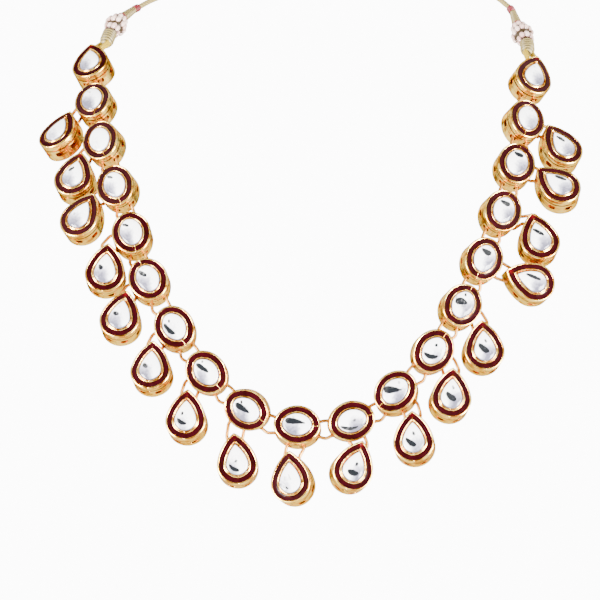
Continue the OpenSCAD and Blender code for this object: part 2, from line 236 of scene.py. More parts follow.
def tube(
    path: np.ndarray, radius: np.ndarray | float, sides: int, closed: bool, up: np.ndarray
) -> Shell:
    """A tube along a path.

    At each of its points stands a ring: the radius times cosine and sine of the angle, in
    two axes square to the path. The mark "skin" holds the way along and the share round it.

    Args:
        path: Points that it follows.
        radius: One radius, or one for each point and side.
        sides: Number of points round it.
        closed: Whether it is a ring.
        up: Direction that the path never follows.

    Returns:
        The closed surface.
    """
    before, after = np.roll(path, 1, axis=0), np.roll(path, -1, axis=0)
    if not closed:
        before[0], after[-1] = path[0], path[-1]
    ahead = unit(after - before)
    x = square_to(np.broadcast_to(up, ahead.shape), ahead)
    y = np.cross(ahead, x)
    turn = np.arange(sides) * TURN / sides
    size = np.broadcast_to(np.asarray(radius, float), (len(path), sides))[..., None]
    ring = np.cos(turn)[None, :, None] * x[:, None] + np.sin(turn)[None, :, None] * y[:, None]
    shell = sleeve(path[:, None] + size * ring, closed)
    way = np.concatenate([[0], np.cumsum(np.linalg.norm(np.diff(path, axis=0), axis=1))])
    round_way = np.stack(
        np.broadcast_arrays(way[:, None], turn[None, :] / TURN, np.zeros((1, 1))), axis=-1
    ).reshape(-1, 3)
    extra = len(shell.points) - len(round_way)
    return shell.marked(skin=np.concatenate([round_way, round_way[[0, -1]][:extra]]))


def bent(corners: np.ndarray, size: float, steps: int = 7) -> np.ndarray:
    """Closed line whose corners are rounded: each is a quadratic curve between its two sides.

    Args:
        corners: Corner points in order.
        size: Length that a bend takes of each side, at most 0.45 of it.
        steps: Points of each bend.

    Returns:
        The line's points.
    """
    back, ahead = np.roll(corners, 1, axis=0) - corners, np.roll(corners, -1, axis=0) - corners
    reach = [0.45 * np.linalg.norm(v, axis=1, keepdims=True) for v in (back, ahead)]
    take = np.minimum(size, np.minimum(*reach))
    start, end = corners + take * unit(back), corners + take * unit(ahead)
    t = np.linspace(0, 1, steps)[None, :, None]
    start, end, knee = start[:, None], end[:, None], corners[:, None]
    curve = (1 - t) ** 2 * start + 2 * t * (1 - t) * knee + t**2 * end
    return curve.reshape(-1, 3)


def smooth_line(points: np.ndarray, spacing: float) -> np.ndarray:
    """A smooth line: cubic pieces whose slopes are half the step between neighbours.

    Args:
        points: Points that it passes.
        spacing: Rough distance between the points given back.

    Returns:
        The line's points.
    """
    step = np.gradient(points, axis=0)
    count = max(2, int(np.linalg.norm(np.diff(points, axis=0), axis=1).mean() / spacing))
    t = (np.arange(count) / count)[None, :, None]
    a, b, m, n = points[:-1, None], points[1:, None], step[:-1, None], step[1:, None]
    line = (
        (2 * t**3 - 3 * t**2 + 1) * a
        + (t**3 - 2 * t**2 + t) * m
        + (3 * t**2 - 2 * t**3) * b
        + (t**3 - t**2) * n
    )
    return np.concatenate([line.reshape(-1, 3), points[-1:]])


def make_piece(
    name: str,
    shell: Shell,
    finish: bpy.types.Material,
    replaced: list[str],
    crease: float = 40,
) -> bpy.types.Object:
    """Makes an object of a shell, in metres at the origin, that stands for CAD nodes.

    Args:
        name: The piece's name.
        shell: Its surface, in millimetres.
        finish: Its material.
        replaced: CAD nodes that it stands for.
        crease: Angle in degrees past which an edge is sharp.

    Returns:
        The object, which rides on the root body.
    """
    mesh = bpy.data.meshes.new(name)
    mesh.vertices.add(len(shell.points))
    mesh.vertices.foreach_set("co", (shell.points * MM).astype(np.float32).ravel())
    corners = np.concatenate([shell.quads.ravel(), shell.triangles.ravel()])
    mesh.loops.add(len(corners))
    mesh.loops.foreach_set("vertex_index", corners.astype(np.int32))
    sizes = np.concatenate([np.full(len(shell.quads), 4), np.full(len(shell.triangles), 3)])
    mesh.polygons.add(len(sizes))
    starts = np.concatenate([[0], np.cumsum(sizes)[:-1]])
    mesh.polygons.foreach_set("loop_start", starts.astype(np.int32))
    mesh.polygons.foreach_set("use_smooth", np.ones(len(sizes), bool))
    mesh.update(calc_edges=True)
    mesh.validate()
    mesh.set_sharp_from_angle(angle=math.radians(crease))
    for mark, values in shell.marks.items():
        wide = values.ndim == 2
        kept = mesh.attributes.new(mark, "FLOAT_VECTOR" if wide else "FLOAT", "POINT")
        kept.data.foreach_set("vector" if wide else "value", values.astype(np.float32).ravel())
    mesh.materials.append(finish)
    piece = bpy.data.objects.new(name, mesh)
    bpy.context.scene.collection.objects.link(piece)
    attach(piece, "root")
    if replaced:
        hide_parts(*replaced)
    LOG.info("%s: %d faces", name, len(sizes))
    return piece


# Outlines and seats


@dataclass(frozen=True)
class Outline:
    """The settings' two outlines, each point found by the angle of its outward normal.

    An oval is two end arcs and two side arcs. A teardrop is the arc of its bulb, two flank
    arcs and a rounded tip, with its origin at the bulb's centre.
    """

    oval_a: float = 6.85
    oval_b: float = 5.85
    oval_end_r: float = 5.0
    bulb_r: float = 5.95
    tip_reach: float = 9.5
    shoulder: float = math.radians(14)
    tip_round: float = 0.3
    tip_sweep: float = math.radians(33.5)
    oval_steps: int = 112
    tip_steps: int = 7
    flank_steps: int = 19
    bulb_steps: int = 29

    @property
    def end_at(self) -> float:
        """Distance of an end arc's centre from the oval's middle."""
        return self.oval_a - self.oval_end_r

    @property
    def side_r(self) -> float:
        """Radius of the oval's side arcs, which touch its end arcs."""
        e, r, b = self.end_at, self.oval_end_r, self.oval_b
        return (e * e + b * b - r * r) / (2 * (b - r))

    @property
    def side_at(self) -> float:
        """Distance of a side arc's centre from the oval's middle."""
        return self.side_r - self.oval_b

    @property
    def flank(self) -> np.ndarray:
        """The flank arcs' centres, which lie where the arcs touch the bulb and meet at the tip.

        Returns:
            Distances from the bulb's centre, back and across.
        """
        reach = (self.tip_reach**2 - self.bulb_r**2) / 2
        away = reach / (self.bulb_r - self.tip_reach * math.sin(self.shoulder))
        return away * np.array([math.sin(self.shoulder), math.cos(self.shoulder)])

    @property
    def flank_r(self) -> float:
        """Radius of the teardrop's flank arcs."""
        return self.bulb_r + float(np.hypot(*self.flank))

    def outer(self, kind: Kind) -> float:
        """Distance of the outline's end, or the tip, from the origin."""
        return self.oval_a if kind is Kind.OVAL else self.tip_reach

    def turns(self, kind: Kind) -> np.ndarray:
        """Angles that draw an outline evenly, closer together round the tip.

        Args:
            kind: Which outline.

        Returns:
            Angles of the outward normal, in rising order.
        """
        if kind is Kind.OVAL:
            return np.arange(self.oval_steps) * TURN / self.oval_steps - math.pi
        tip, side = self.tip_sweep, math.pi / 2 - self.shoulder
        half = np.concatenate(
            [
                np.linspace(0, tip, self.tip_steps),
                np.linspace(tip, side, self.flank_steps)[1:],
                np.linspace(side, math.pi, self.bulb_steps)[1:],
            ]
        )
        return np.concatenate([-half[-2:0:-1], half])

    def point(self, kind: Kind, turn: np.ndarray, inset: np.ndarray | float) -> np.ndarray:
        """Points inside the outline by an inset.

        Each is an arc's centre plus the normal times the arc's radius less the inset.

        Args:
            kind: Which outline.
            turn: Angles of the outward normal.
            inset: Distances inside the outline, fitting turn's shape.

        Returns:
            Points with their two coordinates on the last axis.
        """
        turn, inset = np.broadcast_arrays((turn + math.pi) % TURN - math.pi, inset)
        hand = np.where(turn < 0, -1.0, 1.0)
        if kind is Kind.OVAL:
            ahead = np.where(np.abs(turn) < math.pi / 2, 1.0, -1.0)
            split = math.atan2(self.side_at, self.end_at)
            from_end = np.minimum(np.abs(turn), math.pi - np.abs(turn))
            at_end = from_end < split
            x = np.where(at_end, ahead * self.end_at, 0)
            y = np.where(at_end, 0, -hand * self.side_at)
            r = np.where(at_end, self.oval_end_r, self.side_r) - inset
        else:
            back, beside = self.flank
            flank_r = self.flank_r - inset
            tip_turn = np.arcsin(beside / (flank_r - self.tip_round))
            tip_x = (flank_r - self.tip_round) * np.cos(tip_turn) - back
            on = [np.abs(turn) < tip_turn, np.abs(turn) < math.pi / 2 - self.shoulder]
            x = np.select(on, [tip_x, -back], 0.0)
            y = np.select(on, [0.0, -hand * beside], 0.0)
            r = np.select(on, [self.tip_round, flank_r], self.bulb_r - inset)
        return np.stack([x + r * np.cos(turn), y + r * np.sin(turn)], axis=-1)


@dataclass(frozen=True)
class Gallery:
    """Heights, widths and windows of a setting, from the links' plane at zero.

    Heights are those of the back edge, the windows' foot and top, the cup's foot, its rim
    and seat, the bezel's crest, and the top of the bezel on the solid.
    """

    outline: Outline = Outline()
    low: float = -2.6
    foot: float = -1.4
    top: float = 1.4
    wall: float = 0.6
    lip_w: float = 4.2
    lip_t: float = 0.4
    cup_low: float = 1.76
    rim: float = 3.6
    bezel_top: float = 3.95
    crest: float = 3.86
    seat: float = 2.5
    channel_in: float = 2.0
    oval_bezel: float = 0.54
    tear_bezel: float = 0.75
    bar_half: float = 0.125
    bar_from: float = 4.5
    window_w: float = 2.2
    window_h: float = 1.5
    end_off: float = 2.4
    side_off: float = 2.2
    flank_shares: tuple[float, float] = (0.25, 0.75)
    bulb_turns: tuple[float, float] = (105, 156)

    def bezel_w(self, kind: Kind) -> float:
        """Width of the foil bezel."""
        return self.oval_bezel if kind is Kind.OVAL else self.tear_bezel

    def windows(self, kind: Kind) -> tuple[np.ndarray, np.ndarray]:
        """Places of the windows round the outline.

        Args:
            kind: Which outline.

        Returns:
            Angles of the windows' middles in rising order, and half of each one's angle.
        """
        o = self.outline
        if kind is Kind.OVAL:
            end = math.asin(self.end_off / o.oval_end_r)
            side = math.asin(self.side_off / o.side_r)
            half = np.array([end, math.pi / 2 - side, math.pi / 2 + side, math.pi - end])
            radius = np.array([o.oval_end_r, o.side_r, o.side_r, o.oval_end_r])
        else:
            tip = math.asin(o.flank[1] / o.flank_r)
            shoulder = math.pi / 2 - o.shoulder
            flank = [tip + share * (shoulder - tip) for share in self.flank_shares]
            half = np.array([*flank, *(math.radians(turn) for turn in self.bulb_turns)])
            radius = np.array([o.flank_r, o.flank_r, o.bulb_r, o.bulb_r])
        width = np.arcsin(self.window_w / 2 / radius)
        return np.concatenate([-half[::-1], half]), np.concatenate([width[::-1], width])

    def hole(self, kind: Kind, index: int) -> np.ndarray:
        """Middle of the wall in a window, by the window's place in rising order."""
        middles = self.windows(kind)[0]
        return self.outline.point(kind, middles[index], self.wall / 2)


@dataclass(frozen=True)
class Seat:
    """Where a setting stands: its middle, its three axes, its kind and its seam's end."""

    name: str
    kind: Kind
    at: np.ndarray
    along: np.ndarray
    normal: np.ndarray
    seam: int

    @property
    def across(self) -> np.ndarray:
        """The axis square to length and face."""
        return np.cross(self.normal, self.along)

    @property
    def seed(self) -> float:
        """A number of its own, from its name's letters."""
        return float(sum((i + 1) * ord(c) for i, c in enumerate(self.name)) % 97)

    def place(self, local: np.ndarray) -> np.ndarray:
        """Points of the setting's own frame in the row frame."""
        return self.at + local @ np.stack([self.along, self.across, self.normal])

    def turned(self, towards: np.ndarray) -> Seat:
        """The same seat with its length axis pointing towards a direction."""
        hand = 1 if float(self.along @ towards) > 0 else -1
        return Seat(self.name, self.kind, self.at, hand * self.along, self.normal, hand * self.seam)

    @staticmethod
    def of_node(name: str, kind: Kind, node: bpy.types.Object, gallery: Gallery) -> Seat:
        """Reads a setting's frame from its solid.

        The face normal is the direction that the flat faces share: the principal axis of
        the faces' normals, weighted by area, along which the solid is thinnest. The length
        is the principal axis of the surface's second moments square to it. The seam's bar
        is the part that stands level with the rim at one end only.

        Args:
            name: The solid's name.
            kind: Its outline.
            node: Its object.
            gallery: The settings' sizes.

        Returns:
            The seat, its length axis pointing to the tip on a teardrop.
        """
        mesh = node.data
        points = np.empty(len(mesh.vertices) * 3)
        mesh.vertices.foreach_get("co", points)
        points = points.reshape(-1, 3) / MM
        mesh.calc_loop_triangles()
        index = np.empty(len(mesh.loop_triangles) * 3, np.int32)
        mesh.loop_triangles.foreach_get("vertices", index)
        corner = points[index.reshape(-1, 3)]
        cross = np.cross(corner[:, 1] - corner[:, 0], corner[:, 2] - corner[:, 0])
        area = np.linalg.norm(cross, axis=1) / 2
        cross, corner, area = cross[area > 0], corner[area > 0], area[area > 0]
        facing = np.einsum("ki,kj,k->ij", cross, cross, 1 / (4 * area))
        axes = np.linalg.eigh(facing)[1].T
        normal = axes[np.argmin([np.ptp(points @ a) for a in axes])]
        normal = normal * np.sign(normal @ FRONT)
        centre = np.einsum("kij,k->j", corner, area / 3) / area.sum()
        c = corner - centre
        both = np.einsum("kni,knj,k->ij", c, c, area) + np.einsum(
            "ki,kj,k->ij", c.sum(1), c.sum(1), area
        )
        flat = np.eye(3) - np.outer(normal, normal)
        along = np.linalg.eigh(flat @ both @ flat)[1][:, -1]
        reach = points @ along
        if kind is Kind.TEARDROP and (reach.max() + reach.min()) / 2 < centre @ along:
            along, reach = -along, -reach
        across = np.cross(normal, along)
        beside = points @ across
        x = (reach.max() + reach.min()) / 2
        if kind is Kind.TEARDROP:
            x = reach.max() - gallery.outline.tip_reach
        at = (
            along * x
            + across * (beside.max() + beside.min()) / 2
            + normal * ((points @ normal).max() - gallery.bezel_top)
        )
        local = (points - at) @ np.stack([along, across, normal]).T
        beside_bar = np.abs(np.abs(local[:, 1]) - gallery.bar_half) < SLACK
        bar = beside_bar & (np.abs(local[:, 2] - gallery.rim) < SLACK)
        ends = [np.sum(bar & (hand * local[:, 0] > gallery.bar_from)) for hand in (-1, 1)]
        return Seat(name, kind, at, along, normal, 1 if ends[1] > ends[0] else -1)


@dataclass
class Layout:
    """All seats of the necklace: the chain from the middle outward on each side, and its drops."""

    gallery: Gallery
    middle: Seat
    right: list[Seat]
    left: list[Seat]
    drops: dict[str, Seat]

    @staticmethod
    def read(nodes: dict[str, bpy.types.Object], gallery: Gallery) -> Layout:
        """Reads every seat from the frame and turns chain seats to point outward.

        Args:
            nodes: The frame's solids by name.
            gallery: The settings' sizes.

        Returns:
            The necklace's layout.
        """

        def seat(name: str, kind: Kind) -> Seat:
            """One seat, from the node of the same name."""
            return Seat.of_node(name, kind, nodes[name], gallery)

        middle = seat("case_middle", Kind.OVAL).turned(np.array([1.0, 0, 0]))
        sides: dict[str, list[Seat]] = {"right": [], "left": []}
        for side, row in sides.items():
            before = middle
            for i in range(1, SIDE_OVALS + 1):
                found = seat(f"case_{side}_{i}", Kind.OVAL)
                row.append(found.turned(found.at - before.at))
                before = row[-1]
            row.append(seat(f"case_{side}_{SIDE_OVALS + 1}", Kind.TEARDROP))
        names = ["drop_middle"]
        for side in ("left", "right"):
            names += [f"drop_{side}_{i}" for i in range(1, SIDE_OVALS + 1)]
        drops = {name: seat(name, Kind.TEARDROP) for name in names}
        return Layout(gallery, middle, sides["right"], sides["left"], drops)

    @property
    def chain(self) -> list[Seat]:
        """Every setting of the chain."""
        return [self.middle, *self.right, *self.left]

    @property
    def pairs(self) -> list[tuple[Seat, Seat]]:
        """Every oval with the drop under it.

        Returns:
            The middle pair, then those of the right and left sides from the middle outward.
        """
        found = [(self.middle, self.drops["drop_middle"])]
        for side, row in (("right", self.right), ("left", self.left)):
            found += [
                (oval, self.drops[f"drop_{side}_{i}"])
                for i, oval in enumerate(row[:SIDE_OVALS], start=1)
            ]
        return found


# Finishes


def add_node(
    tree: bpy.types.NodeTree,
    kind: str,
    settings: dict[str, object] | None = None,
    inputs: dict[str, object] | None = None,
    stops: dict[float, str] | None = None,
) -> bpy.types.Node:
    """Adds a node with its own settings, and its sockets' values or links.

    Args:
        tree: The tree that it goes into.
        kind: The node's type without "ShaderNode".
        settings: The node's own properties.
        inputs: By socket name or number, a value, or an output socket to link.
        stops: For a colour ramp, hex colours by their places from 0 to 1.

    Returns:
        The new node.
    """
    made = tree.nodes.new("ShaderNode" + kind)
    for name, value in (settings or {}).items():
        setattr(made, name, value)
    for name, value in (inputs or {}).items():
        socket = made.inputs[name]
        if isinstance(value, bpy.types.NodeSocket):
            tree.links.new(value, socket)
        else:
            socket.default_value = value
    for i, (place, colour) in enumerate(sorted((stops or {}).items())):
        row = made.color_ramp.elements
        # A new ramp has two stops
        stop = row[i] if i < 2 else row.new(place)
        stop.position, stop.color = place, linear(colour)
    return made


def surface(name: str) -> tuple[bpy.types.Material, bpy.types.NodeTree, bpy.types.Node]:
    """Starts a material.

    Args:
        name: Its name.

    Returns:
        The material, its tree and its shader node.
    """
    material = bpy.data.materials.new(name)
    material.use_nodes = True
    tree = material.node_tree
    return material, tree, tree.nodes["Principled BSDF"]


@dataclass(frozen=True)
class GoldFinish:
    """22-carat gold plate, filed and hand-burnished.

    To the eye: warm yellow with cream glints along its polished edges, fine slanting file
    strokes and amber patches on its walls, and painted shade, orange-brown, in its hollows.
    The strokes are drawn coarser than a file's, so that they show.
    """

    name: str = "burnished_gold"
    pale: str = "#fcd873"
    warm: str = "#f3c252"
    amber: str = "#c08028"
    # Tints of painted shade: orange inside the gallery, brown in the crevices
    inside: str = "#ffd0a8"
    crevice_shade: str = "#806048"
    glance: str = "#ffe2a0"
    roughness: float = 0.2
    scratch_mm: float = 0.5
    scratch_depth_mm: float = 0.11
    slant: float = math.radians(38)
    drawn_out: float = 0.12
    patches_per_mm: float = 0.35

    def make(self) -> bpy.types.Material:
        """Mixes three golds by strokes and patches, and darkens their hollows with painted shade.

        Returns:
            The material, which reads the marks "skin", in millimetres, and that of painted shade.
        """
        material, tree, shader = surface(self.name)
        skin = add_node(tree, "Attribute", {"attribute_name": "skin"}).outputs["Vector"]
        hollow = add_node(tree, "Attribute", {"attribute_name": "hollow"}).outputs["Fac"]
        # Strokes of the file: noise drawn out along a slant, scratch_mm from stroke to stroke
        turned = add_node(
            tree,
            "Mapping",
            inputs={
                "Vector": skin,
                "Rotation": (0, 0, self.slant),
                "Scale": (self.drawn_out, 1, 1),
            },
        )
        strokes = add_node(
            tree,
            "TexNoise",
            inputs={
                "Vector": turned.outputs["Vector"],
                "Scale": 1 / self.scratch_mm,
                "Detail": 2.0,
            },
        )
        patches = add_node(
            tree,
            "TexNoise",
            inputs={"Vector": skin, "Scale": self.patches_per_mm, "Detail": 1.0},
        )
        drift = add_node(
            tree,
            "Math",
            {"operation": "MULTIPLY_ADD"},
            {0: strokes.outputs["Fac"], 1: 0.5, 2: patches.outputs["Fac"]},
        )
        tone = add_node(
            tree,
            "ValToRGB",
            inputs={"Fac": drift.outputs[0]},
            stops={0.6: self.amber, 0.72: self.warm, 0.88: self.pale},
        )
        # Painted shade tints the gold by its mark: orange inside the gallery, brown in the crevices
        tint = add_node(
            tree,
            "ValToRGB",
            inputs={"Fac": hollow},
            stops={0.0: "#ffffff", 0.5: self.inside, 1.0: self.crevice_shade},
        )
        deep = add_node(
            tree,
            "Mix",
            {"data_type": "RGBA", "blend_type": "MULTIPLY"},
            {"Factor": 1.0, 6: tone.outputs["Color"], 7: tint.outputs["Color"]},
        )
        tree.links.new(deep.outputs[2], shader.inputs["Base Color"])
        rough = add_node(
            tree,
            "MapRange",
            inputs={
                "Value": strokes.outputs["Fac"],
                "To Min": self.roughness - 0.06,
                "To Max": self.roughness + 0.08,
            },
        )
        tree.links.new(rough.outputs["Result"], shader.inputs["Roughness"])
        bump = add_node(
            tree,
            "Bump",
            inputs={
                "Strength": 0.8,
                "Distance": self.scratch_depth_mm * MM,
                "Height": strokes.outputs["Fac"],
            },
        )
        tree.links.new(bump.outputs["Normal"], shader.inputs["Normal"])
        shader.inputs["Metallic"].default_value = 1.0
        shader.inputs["Specular Tint"].default_value = linear(self.glance)
        return material


@dataclass(frozen=True)
class EnamelFinish:
    """Fired glass enamel, rubbed back level.

    To the eye: deep maroon with a quiet gloss, fine pits, and a brighter red where it
    lies thin at the tips.
    """

    name: str = "maroon_enamel"
    deep: str = "#180202"
    body: str = "#250307"
    thin: str = "#580307"
    roughness: float = 0.22
    ior: float = 1.5
    sheen_level: float = 0.07
    pit_mm: float = 0.5
    pit_depth_mm: float = 0.04
    drift_mm: float = 2.0

    def make(self) -> bpy.types.Material:
        """Mixes two maroons over a few millimetres, redder by the mark "thin", and pits them.

        Returns:
            The material, which reads the marks "skin", in millimetres, and "thin".
        """
        material, tree, shader = surface(self.name)
        skin = add_node(tree, "Attribute", {"attribute_name": "skin"}).outputs["Vector"]
        thin = add_node(tree, "Attribute", {"attribute_name": "thin"}).outputs["Fac"]
        drift = add_node(
            tree,
            "TexNoise",
            inputs={"Vector": skin, "Scale": 1 / self.drift_mm, "Detail": 3.0},
        )
        tone = add_node(
            tree,
            "ValToRGB",
            inputs={"Fac": drift.outputs["Fac"]},
            stops={0.3: self.deep, 0.7: self.body},
        )
        redder = add_node(
            tree,
            "Mix",
            {"data_type": "RGBA"},
            {"Factor": thin, 6: tone.outputs["Color"], 7: linear(self.thin)},
        )
        tree.links.new(redder.outputs[2], shader.inputs["Base Color"])
        pits = add_node(
            tree, "TexNoise", inputs={"Vector": skin, "Scale": 1 / self.pit_mm, "Detail": 3.0}
        )
        bump = add_node(
            tree,
            "Bump",
            inputs={
                "Strength": 0.3,
                "Distance": self.pit_depth_mm * MM,
                "Height": pits.outputs["Fac"],
            },
        )
        tree.links.new(bump.outputs["Normal"], shader.inputs["Normal"])
        shader.inputs["Roughness"].default_value = self.roughness
        shader.inputs["IOR"].default_value = self.ior
        # Held low, because the wide bright room would turn the maroon grey
        shader.inputs["Specular IOR Level"].default_value = self.sheen_level
        return material


@dataclass(frozen=True)
class StoneFinish:
    """Polished white kundan stone set on silver foil.

    To the eye: bright white with a hard gloss, with a grey of painted shade and reflection
    on the outward and lower side and along the edge, and frayed charcoal streaks of painted
    dark reflection.
    """

    name: str = "white_stone"
    white: str = "#fdfcfc"
    # Two greys of painted shade and reflection, then the charcoal of painted dark reflections
    thin: str = "#a4a2ae"
    veil: str = "#5e5c6a"
    fleck: str = "#141619"
    roughness: float = 0.08
    ior: float = 1.52
    cloud_mm: float = 0.7

    def make(self) -> bpy.types.Material:
        """Paints a grey of shade and reflection on the white, and dark reflections, by two marks.

        Returns:
            The material, which reads those two marks and frays both with one cloud.
        """
        material, tree, shader = surface(self.name)
        veil = add_node(tree, "Attribute", {"attribute_name": "veil"}).outputs["Fac"]
        fleck = add_node(tree, "Attribute", {"attribute_name": "fleck"}).outputs["Fac"]
        place = add_node(tree, "TexCoord").outputs["Object"]
        cloud = add_node(
            tree,
            "TexNoise",
            inputs={"Vector": place, "Scale": 1 / (self.cloud_mm * MM), "Detail": 3.0},
        )
        # Painted shade and reflection: grey over the white, frayed by the cloud
        drawn = add_node(
            tree,
            "Math",
            {"operation": "MULTIPLY_ADD"},
            {0: cloud.outputs["Fac"], 1: 0.5, 2: veil},
        )
        veiled = add_node(
            tree,
            "ValToRGB",
            inputs={"Fac": drawn.outputs[0]},
            stops={0.3: self.white, 0.65: self.thin, 1.0: self.veil},
        )
        # Painted dark reflections in charcoal, frayed by the same cloud
        frayed = add_node(
            tree,
            "Math",
            {"operation": "MULTIPLY_ADD"},
            {0: cloud.outputs["Fac"], 1: 0.9, 2: fleck},
        )
        reflection_mask = add_node(
            tree,
            "MapRange",
            {"interpolation_type": "SMOOTHSTEP"},
            {"Value": frayed.outputs[0], "From Min": 0.62, "From Max": 1.35},
        )
        marked = add_node(
            tree,
            "Mix",
            {"data_type": "RGBA"},
            {"Factor": reflection_mask.outputs[0], 6: veiled.outputs["Color"], 7: linear(self.fleck)},
        )
        tree.links.new(marked.outputs[2], shader.inputs["Base Color"])
        shader.inputs["Roughness"].default_value = self.roughness
        shader.inputs["IOR"].default_value = self.ior
        return material


@dataclass(frozen=True)
class ThreadFinish:
    """Metal-wrapped thread, or dyed silk, laid in turns.

    To the eye: dull yellow gold, with a soft glint on the crown of each turn and dark
    lines between the turns, real dips that also carry painted shade.
    """

    name: str = "gold_thread"
    light: str = "#9a8850"
    shade: str = "#2c2006"
    metallic: float = 0.2
    roughness: float = 0.42
    fibre_mm: float = 0.16
    fibre_depth_mm: float = 0.05

    def make(self) -> bpy.types.Material:
        """Darkens the thread in its valleys with painted shade, by a mark, and lays fine fibres on it.

        Returns:
            The material, which reads the mark "skin" and the mark of painted shade.
        """
        material, tree, shader = surface(self.name)
        skin = add_node(tree, "Attribute", {"attribute_name": "skin"}).outputs["Vector"]
        hollow = add_node(tree, "Attribute", {"attribute_name": "hollow"}).outputs["Fac"]
        fibres = add_node(
            tree,
            "TexNoise",
            inputs={"Vector": skin, "Scale": 1 / self.fibre_mm, "Detail": 2.0},
        )
        # Painted shade: the shade colour in the valleys between the turns
        tone = add_node(
            tree,
            "Mix",
            {"data_type": "RGBA"},
            {"Factor": hollow, 6: linear(self.light), 7: linear(self.shade)},
        )
        tree.links.new(tone.outputs[2], shader.inputs["Base Color"])
        bump = add_node(
            tree,
            "Bump",
            inputs={
                "Strength": 0.5,
                "Distance": self.fibre_depth_mm * MM,
                "Height": fibres.outputs["Fac"],
            },
        )
        tree.links.new(bump.outputs["Normal"], shader.inputs["Normal"])
        shader.inputs["Metallic"].default_value = self.metallic
        shader.inputs["Roughness"].default_value = self.roughness
        return material


@dataclass(frozen=True)
class PearlFinish:
    """Seed pearl, natural nacre.

    To the eye: pinkish cream that drifts from pearl to pearl, with a soft gloss.
    """

    name: str = "seed_pearl"
    light: str = "#e6cabc"
    blush: str = "#c89a8e"
    shade: str = "#4a2620"
    roughness: float = 0.25
    ior: float = 1.6
    coat: float = 0.4
    coat_roughness: float = 0.15

    def make(self) -> bpy.types.Material:
        """Drifts the tint from pearl to pearl, and darkens it with painted shade where they meet.

        Returns:
            The material. It reads the mark "skin", one place in the noise for each pearl, and
            the mark of painted shade.
        """
        material, tree, shader = surface(self.name)
        skin = add_node(tree, "Attribute", {"attribute_name": "skin"}).outputs["Vector"]
        hollow = add_node(tree, "Attribute", {"attribute_name": "hollow"}).outputs["Fac"]
        drift = add_node(tree, "TexNoise", inputs={"Vector": skin, "Scale": 0.6, "Detail": 1.0})
        tone = add_node(
            tree,
            "ValToRGB",
            inputs={"Fac": drift.outputs["Fac"]},
            stops={0.35: self.blush, 0.65: self.light},
        )
        # Painted shade where the pearls meet
        dull = add_node(
            tree,
            "Mix",
            {"data_type": "RGBA"},
            {"Factor": hollow, 6: tone.outputs["Color"], 7: linear(self.shade)},
        )
        tree.links.new(dull.outputs[2], shader.inputs["Base Color"])
        shader.inputs["Roughness"].default_value = self.roughness
        shader.inputs["IOR"].default_value = self.ior
        shader.inputs["Coat Weight"].default_value = self.coat
        shader.inputs["Coat Roughness"].default_value = self.coat_roughness
        return material


# Settings


